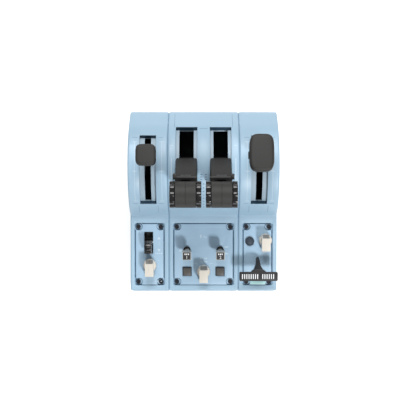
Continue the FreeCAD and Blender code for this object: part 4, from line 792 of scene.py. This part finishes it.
def top_ridges():
    """The ridges on the level top of a bar knob."""
    ridges = []
    for step in (-1, 0, 1):
        middle = step * RIDGE_PITCH
        ridges.append(block(
            (middle - RIDGE_HALF, BAR_FRONT + RIDGE_FROM_FRONT, BAR_TOP - RIDGE_SUNK),
            (middle + RIDGE_HALF, BAR_CREST - RIDGE_FROM_CREST, BAR_TOP + RIDGE_PROUD), RIDGE_EASE))
    return ridges


# Painted shade on the bar's rear slope: a grey plate with seven real ribs on it. Starts are measured from the
# crest down the slope, and rests are what is left bare at its foot.
SHADE_PLATE_HALF = 3.9
SHADE_PLATE_START = 0.8
SHADE_PLATE_REST = 2.2
SHADE_PLATE_SUNK = 0.3
SHADE_PLATE_PROUD = 0.06
SHADE_PLATE_CORNER = 1.6
RIBS_EACH_SIDE = 3
RIB_PITCH = 1.05
RIB_HALF = 0.2
RIB_START = 1.2
RIB_REST = 2.8
RIB_SUNK = 0.2
RIB_PROUD = 0.3
RIB_EASE = 0.08


def slope_inlay():
    """A ribbed grey plate on the rear slope of a bar knob; its grey is painted shade."""
    length = math.hypot(SLOPE_ALONG, SLOPE_DROP)
    parts = [block((-SHADE_PLATE_HALF, SHADE_PLATE_START, -SHADE_PLATE_SUNK),
                   (SHADE_PLATE_HALF, length - SHADE_PLATE_REST, SHADE_PLATE_PROUD), 0, SHADE_PLATE_CORNER)]
    for step in range(-RIBS_EACH_SIDE, RIBS_EACH_SIDE + 1):
        middle = step * RIB_PITCH
        parts.append(block((middle - RIB_HALF, RIB_START, -RIB_SUNK),
                           (middle + RIB_HALF, length - RIB_REST, RIB_PROUD), RIB_EASE))
    crest = Matrix.Translation((0, BAR_CREST * MM, BAR_TOP * MM))
    down_slope = Matrix.Rotation(-math.atan2(SLOPE_DROP, SLOPE_ALONG), 4, "X")
    return moved(joined(*parts), crest @ down_slope)


for knob, place in BAR_KNOBS.items():
    seat = deck_frame(joint_point(place["joint"]).x, place["run"] * MM)
    skirt = lathe([(0, 0), (SKIRT_RADIUS, 0), (SKIRT_RADIUS, SKIRT_RIM),
                   (SKIRT_RADIUS - SKIRT_TAPER, SKIRT_SHOULDER),
                   (SKIRT_RADIUS - 2 * SKIRT_TAPER, SKIRT_TOP), (0, SKIRT_TOP)], 96)
    shaft = lathe([(0, SHAFT_FOOT), (SHAFT_RADIUS, SHAFT_FOOT), (SHAFT_RADIUS, SKIRT_RIM),
                   (0, SKIRT_RIM)], 48)
    add_piece(knob + "_body", joined(skirt, shaft, bar_grip(), *top_ridges()), "knob_ivory", knob,
              [knob], place=seat)
    # The grey plate on each knob's rear slope is painted shade.
    add_piece(knob + "_rear_shade", slope_inlay(), "knob_ivory", knob, finish=SLOPE_SHADE_GREY, place=seat)


# ---------------------------------------------------------------- gear lever, handle and button

add_piece("gear_wheel", eased_copy("gear_lever", radius_mm=0.25), "ring_black", "gear_lever",
          ["gear_lever"])
HANDLE_RUN = 36.8
HANDLE_TOP = 23.5
HANDLE_BACK = -17.5
HANDLE_HALF_WIDTH = 22.0
HANDLE_HALF_DEPTH = 5.2
HANDLE_THICK = 3.0
STEM_FOOT = -10.5
STEM_RADIUS = 4.0
STEM_SHOULDER = -1.0
STEM_TOP = 3.0
STEM_TOP_RADIUS = 1.8
STEM_STEP = 0.2
# The collar round the stem where it leaves the control plate.
COLLAR_INNER = 2.2
COLLAR_OUTER = 3.9
COLLAR_LOW = -1.0
COLLAR_HIGH = -0.55
# The bell-shaped neck, from its foot at the rear to the plate: how far along, half width, top and
# bottom.
NECK_STATIONS = (
    (3.0, 1.0, 5.0, -0.5), (1.5, 1.7, 8.2, -0.5), (0.0, 2.1, 10.3, -0.5), (-2.5, 2.4, 13.8, 2.5),
    (-5.0, 2.7, 17.4, 7.0), (-7.5, 3.2, 20.9, 9.6), (-9.3, 4.2, 23.3, 11.6),
    (-10.8, 5.8, 23.4, 14.0), (-12.2, 8.6, 23.4, 20.6), (-14.0, 9.4, 23.4, 20.6),
)


def bell_neck():
    """A neck that widens smoothly into the plate that it carries."""
    bm = bmesh.new()
    bmesh.ops.create_cube(bm, size=1)
    lengthwise = [edge for edge in bm.edges if runs_along(edge, 1)]
    bmesh.ops.subdivide_edges(bm, edges=lengthwise, cuts=len(NECK_STATIONS) - 2)
    last = len(NECK_STATIONS) - 1
    for vert in bm.verts:
        along, half, top, bottom = NECK_STATIONS[round((0.5 - vert.co.y) * last)]
        height = top if vert.co.z > 0 else bottom
        vert.co = Vector((math.copysign(half, vert.co.x), along, height)) * MM
    round_edges(bm, sharp_edges(bm, 50), 0.6)
    return bm


handle_seat = deck_frame(UNIT_X["right"] * MM, HANDLE_RUN * MM)
pull_plate = block((-HANDLE_HALF_WIDTH, HANDLE_BACK - HANDLE_HALF_DEPTH, HANDLE_TOP - HANDLE_THICK),
                   (HANDLE_HALF_WIDTH, HANDLE_BACK + HANDLE_HALF_DEPTH, HANDLE_TOP), 0.35, 1.4, 3)
pull_stem = lathe([(0, STEM_FOOT), (STEM_RADIUS, STEM_FOOT), (STEM_RADIUS, STEM_SHOULDER),
                   (STEM_TOP_RADIUS + STEM_STEP, STEM_SHOULDER + STEM_STEP),
                   (STEM_TOP_RADIUS, STEM_TOP), (0, STEM_TOP)], 48)
add_piece("park_brake_pull", joined(pull_plate, bell_neck(), pull_stem), "handle_black",
          "park_brake_handle", ["park_brake_handle"], place=handle_seat)
add_piece("park_brake_escutcheon", ring(COLLAR_INNER, COLLAR_OUTER, COLLAR_LOW, COLLAR_HIGH, 64),
          "blue_plate", "park_brake_handle", place=handle_seat)
add_piece("trim_reset_cap", eased_copy("trim_reset_button", radius_mm=0.4, segments=3),
          "key_dark", "trim_reset_button", ["trim_reset_button"])


# ---------------------------------------------------------------- markings and inlays

def deck_block(x_low, x_high, run_low, run_high, low, high, ease=0.0, corner=0.0):
    """A flat piece on a sloped deck, in mm: runs are measured up the slope, heights off it."""
    x, run = (x_low + x_high) / 2, (run_low + run_high) / 2
    half_x, half_run = (x_high - x_low) / 2, (run_high - run_low) / 2
    piece = block((-half_x, -half_run, low), (half_x, half_run, high), ease, corner)
    return moved(piece, deck_frame(x * MM, run * MM))


PRINT_LOW = PLATE_TOP - 0.2
PRINT_HIGH = PLATE_TOP + 0.05


def printed(x, run, width, length):
    """A plain printed bar on a control plate, centred at x and run."""
    return deck_block(x - width / 2, x + width / 2, run - length / 2, run + length / 2,
                      PRINT_LOW, PRINT_HIGH)


def printed_arrow(x, run, size, up):
    """A small printed arrowhead that points up or down the plate."""
    bm = bmesh.new()
    bmesh.ops.create_cone(bm, cap_ends=True, segments=3, radius1=size * MM, radius2=size * MM,
                          depth=(PRINT_HIGH - PRINT_LOW) * MM)
    turn = Matrix.Rotation(0 if up else math.pi, 4, "Z")
    lift = Matrix.Translation((0, 0, (PRINT_LOW + PRINT_HIGH) / 2 * MM))
    return moved(bm, deck_frame(x * MM, run * MM) @ lift @ turn)


# Painted shade along the edges of the control plates, in the gaps round them, wider at the rear. It stops short of
# the corner screws, each of which sits in a pocket with a ring of painted shade round its rim.
PLATE_FRONT = 6.0
PLATE_REAR = 79.1
POCKET = 8.2
SIDE_EDGE = 0.9
REAR_EDGE = 1.3
FRONT_EDGE = 0.4
EDGE_LOW = -0.8
EDGE_HIGH = -0.45
SCREW_IN_X = 4.6
SCREW_IN_RUN = 4.4
POCKET_SHADE_INNER = 3.7
POCKET_SHADE_OUTER = 4.2
POCKET_SHADE_LOW = -1.75
POCKET_SHADE_HIGH = -0.46

for unit in UNITS:
    left, right = x_edges(unit + "_control_plate")
    side_runs = (PLATE_FRONT + POCKET, PLATE_REAR - POCKET)
    inner_left, inner_right = left + POCKET, right - POCKET
    edges = [
        deck_block(left, left + SIDE_EDGE, *side_runs, EDGE_LOW, EDGE_HIGH),
        deck_block(right - SIDE_EDGE, right, *side_runs, EDGE_LOW, EDGE_HIGH),
        deck_block(inner_left, inner_right, PLATE_REAR - REAR_EDGE, PLATE_REAR, EDGE_LOW,
                   EDGE_HIGH),
        deck_block(inner_left, inner_right, PLATE_FRONT, PLATE_FRONT + FRONT_EDGE, EDGE_LOW,
                   EDGE_HIGH),
    ]
    for x in (left + SCREW_IN_X, right - SCREW_IN_X):
        for run in (PLATE_FRONT + SCREW_IN_RUN, PLATE_REAR - SCREW_IN_RUN):
            pocket_shade = ring(POCKET_SHADE_INNER, POCKET_SHADE_OUTER, POCKET_SHADE_LOW, POCKET_SHADE_HIGH, 48)
            edges.append(moved(pocket_shade, deck_frame(x * MM, run * MM)))
    add_piece(unit + "_plate_edge_shade", joined(*edges), "blue_plate", "base", finish=EDGE_SHADE)

# Painted shade in the valleys where the units meet, over the drum and down the deck.
VALLEY_HALF = 0.5
VALLEY_LOW = -2.6
VALLEY_HIGH = -0.8
VALLEY_LEAN = -58
VALLEY_FRONT = 2.0
VALLEY_REAR = 82.0

for name, side in (("left", -1), ("right", 1)):
    middle = side * CENTRE_HIGH.x / MM
    low, high = middle - VALLEY_HALF, middle + VALLEY_HALF
    valley = [drum_strip(low, high, VALLEY_LEAN, REAR_LEAN, VALLEY_LOW, VALLEY_HIGH),
              deck_block(low, high, VALLEY_FRONT, VALLEY_REAR, VALLEY_LOW, VALLEY_HIGH)]
    add_piece(name + "_unit_valley_shade", joined(*valley), "blue_case", "base", finish=SEAM_SHADE)


def bar_row(x, run, pitch, steps, width, length):
    """A row of printed bars across a plate, pitch apart, with x where the step is 0."""
    return [printed(x + step * pitch, run, width, length) for step in steps]


def dots_round(x, run, radius, spread, size):
    """Five printed dots on an arc above a knob, spread degrees apart."""
    dots = []
    for step in range(-2, 3):
        angle = math.radians(step * spread)
        dots.append(printed(x + radius * math.sin(angle), run + radius * math.cos(angle), size,
                            size))
    return dots


# Plain printed bars, dots and arrows where the labels of the controls go.
prints = {
    "centre": [
        *bar_row(x=0, run=37.6, pitch=1.7, steps=(-2, -1, 1, 2), width=1.2, length=1.6),
        *bar_row(x=0, run=33.6, pitch=1.7, steps=(-2, -1, 1, 2), width=1.2, length=1.6),
        printed(x=-26.5, run=46.5, width=4.4, length=1.5),
        printed(x=26.5, run=51.0, width=4.4, length=1.5),
        printed(x=26.5, run=43.2, width=4.4, length=1.5),
        printed(x=-3.2, run=63.5, width=1.4, length=3.6),
        printed(x=0.6, run=63.0, width=1.2, length=1.8),
        printed(x=3.0, run=62.4, width=1.8, length=0.9),
        *bar_row(x=0, run=37.2, pitch=19.3, steps=(-1, 1), width=13.0, length=0.35),
        *bar_row(x=0, run=31.6, pitch=9.6, steps=(-1, 1), width=3.4, length=0.5),
        *dots_round(x=0, run=BAR_KNOBS["mode_knob"]["run"], radius=11.4, spread=20, size=0.8),
    ],
    "left": [
        printed_arrow(x=-52.2, run=61.0, size=2.3, up=True),
        printed_arrow(x=-52.2, run=47.6, size=2.3, up=False),
        printed(x=-52.2, run=56.9, width=1.4, length=0.35),
        printed(x=-52.2, run=55.3, width=2.4, length=0.35),
        printed(x=-52.2, run=53.7, width=1.4, length=0.35),
        *bar_row(x=-56.0, run=43.4, pitch=2.3, steps=range(4), width=1.4, length=1.3),
        *bar_row(x=-56.0, run=10.8, pitch=2.3, steps=range(4), width=1.4, length=1.3),
        *dots_round(x=-62.7, run=BAR_KNOBS["brake_level_knob"]["run"], radius=11.6, spread=30,
                    size=0.9),
    ],
    "right": bar_row(x=68.0, run=45.2, pitch=2.1, steps=range(5), width=1.4, length=1.4),
}
for unit in UNITS:
    add_piece(unit + "_printed_marks", joined(*prints[unit]), "knob_ivory", "base",
              finish=PALE_INK)

# A pale translucent strip at the front of the right plate.
light_strip = deck_block(x_low=54.5, x_high=72.5, run_low=7.0, run_high=10.6, low=-0.9, high=-0.4,
                         ease=0.1, corner=0.6)
add_piece("status_strip", light_strip, "blue_plate", "base", finish=MINT_STRIP)

# Plain upright bars in pairs on the face of the parking handle: four pairs, a gap, three pairs.
PAIRS_START = -17.2
PAIR_PITCH = 4.95
AFTER_GAP = -1.6
BAR_OUT = 1.25
BAR_HALF_WIDTH = 0.5
BAR_HALF_LENGTH = 2.8

pair_centres = [PAIRS_START + step * PAIR_PITCH for step in range(4)]
pair_centres += [PAIRS_START + AFTER_GAP + step * PAIR_PITCH for step in range(5, 8)]
marks = []
for centre in pair_centres:
    for x in (centre - BAR_OUT, centre + BAR_OUT):
        marks.append(block(
            (x - BAR_HALF_WIDTH, HANDLE_BACK - BAR_HALF_LENGTH, HANDLE_TOP - STRIP_SUNK),
            (x + BAR_HALF_WIDTH, HANDLE_BACK + BAR_HALF_LENGTH, HANDLE_TOP + STRIP_PROUD), 0))
add_piece("park_brake_marks", joined(*marks), "handle_black", "park_brake_handle",
          finish=WHITE_INK, place=handle_seat)

# Painted shade on the end walls of the lever slots, as thin dark sheets: where each slot ends, as leans of its
# front and rear wall, and how far the sheets stay off the walls and the drum's face.
SLOT_ENDS = {"centre": (-57.0, 38.0), "left": (-54.0, 26.0), "right": (-54.0, 26.0)}
SLOT_DEPTH = 4.7
WALL_SHADE_OFF_SIDES = 0.2
WALL_SHADE_OFF_FACE = 0.2
WALL_SHADE_HALF = 0.15
WALL_SHADE_INSET = 0.25

slots = {"centre": thrust_edges, "left": [side_edges["left"]], "right": [side_edges["right"]]}
for unit in UNITS:
    end_shade_sheets = []
    for left, right in slots[unit]:
        for end, inwards in zip(SLOT_ENDS[unit], (1, -1)):
            wall = block(
                (left + WALL_SHADE_OFF_SIDES, -WALL_SHADE_HALF, DRUM_RADIUS / MM - SLOT_DEPTH),
                (right - WALL_SHADE_OFF_SIDES, WALL_SHADE_HALF, DRUM_RADIUS / MM - WALL_SHADE_OFF_FACE), 0)
            lean = math.radians(end + inwards * WALL_SHADE_INSET)
            end_shade_sheets.append(moved(wall, drum_frame(0, lean)))
    add_piece(unit + "_slot_end_shade", joined(*end_shade_sheets), "blue_case", "base", finish=END_SHADE)


# ---------------------------------------------------------------- floor, light and camera

FLOOR_GLOW = 0.55
FLOOR_SIZE = 6
ROOM_LIGHT = 0.28


def stage_material():
    """A pale matt floor that the camera, and the object's reflections, see as white."""
    material = bpy.data.materials.new("plain_white_floor")
    material.use_nodes = True
    tree = material.node_tree
    shader = tree.nodes["Principled BSDF"]
    shader.inputs["Base Color"].default_value = colour("#E6E6E6")
    shader.inputs["Roughness"].default_value = 0.9
    glow = add_node(tree, "ShaderNodeEmission", {"Color": (1, 1, 1, 1), "Strength": FLOOR_GLOW})
    ray = add_node(tree, "ShaderNodeLightPath").outputs
    # Inputs that share a name are linked by their number.
    seen = add_node(tree, "ShaderNodeMath", {"operation": "MAXIMUM"},
                    {0: ray["Is Camera Ray"], 1: ray["Is Glossy Ray"]})
    glows = add_node(tree, "ShaderNodeMath", {"operation": "MAXIMUM"},
                     {0: seen.outputs[0], 1: ray["Is Transmission Ray"]})
    bright = add_node(tree, "ShaderNodeAddShader", {},
                      {0: shader.outputs["BSDF"], 1: glow.outputs["Emission"]})
    lit = add_node(tree, "ShaderNodeMixShader", {},
                   {0: glows.outputs[0], 1: shader.outputs["BSDF"], 2: bright.outputs["Shader"]})
    tree.links.new(lit.outputs["Shader"], tree.nodes["Material Output"].inputs["Surface"])
    return material


bpy.ops.mesh.primitive_plane_add(size=FLOOR_SIZE, location=(0, 0, 0))
floor = bpy.context.object
floor.name = "floor"
floor.data.materials.append(stage_material())

world = bpy.data.worlds.new("pale_room")
bpy.context.scene.world = world
world.use_nodes = True
background = world.node_tree.nodes["Background"]
background.inputs["Color"].default_value = (1, 1, 1, 1)
background.inputs["Strength"].default_value = ROOM_LIGHT


def area_light(name, place, target, size, power):
    """A round soft lamp at a place in metres, turned to a target, with its power in watts."""
    light = bpy.data.lights.new(name, "AREA")
    light.shape = "DISK"
    light.size = size
    light.energy = power
    lamp = bpy.data.objects.new(name, light)
    bpy.context.scene.collection.objects.link(lamp)
    lamp.location = place
    lamp.rotation_euler = (Vector(target) - Vector(place)).to_track_quat("-Z", "Y").to_euler()
    return lamp


area_light("key_front_right", place=(0.42, -1.0, 0.98), target=(0, 0, 0.05), size=0.2, power=12)
area_light("softbox_rear", place=(0.0, 0.75, 1.2), target=(0, 0.05, 0.05), size=0.8, power=14.5)

# The camera hangs over the object and looks almost straight down.
CAMERA_PLACE = (0, -0.11814, 1.09956)
CAMERA_TILT = 6.5
camera_data = bpy.data.cameras.new("camera")
camera_data.sensor_width = 36
camera_data.lens = 81
camera_data.shift_x = -0.009
camera_data.clip_end = 20
camera = bpy.data.objects.new("camera", camera_data)
bpy.context.scene.collection.objects.link(camera)
camera.location = CAMERA_PLACE
camera.rotation_euler = (math.radians(CAMERA_TILT), 0, 0)
bpy.context.scene.camera = camera
bpy.context.scene.view_settings.view_transform = "Standard"
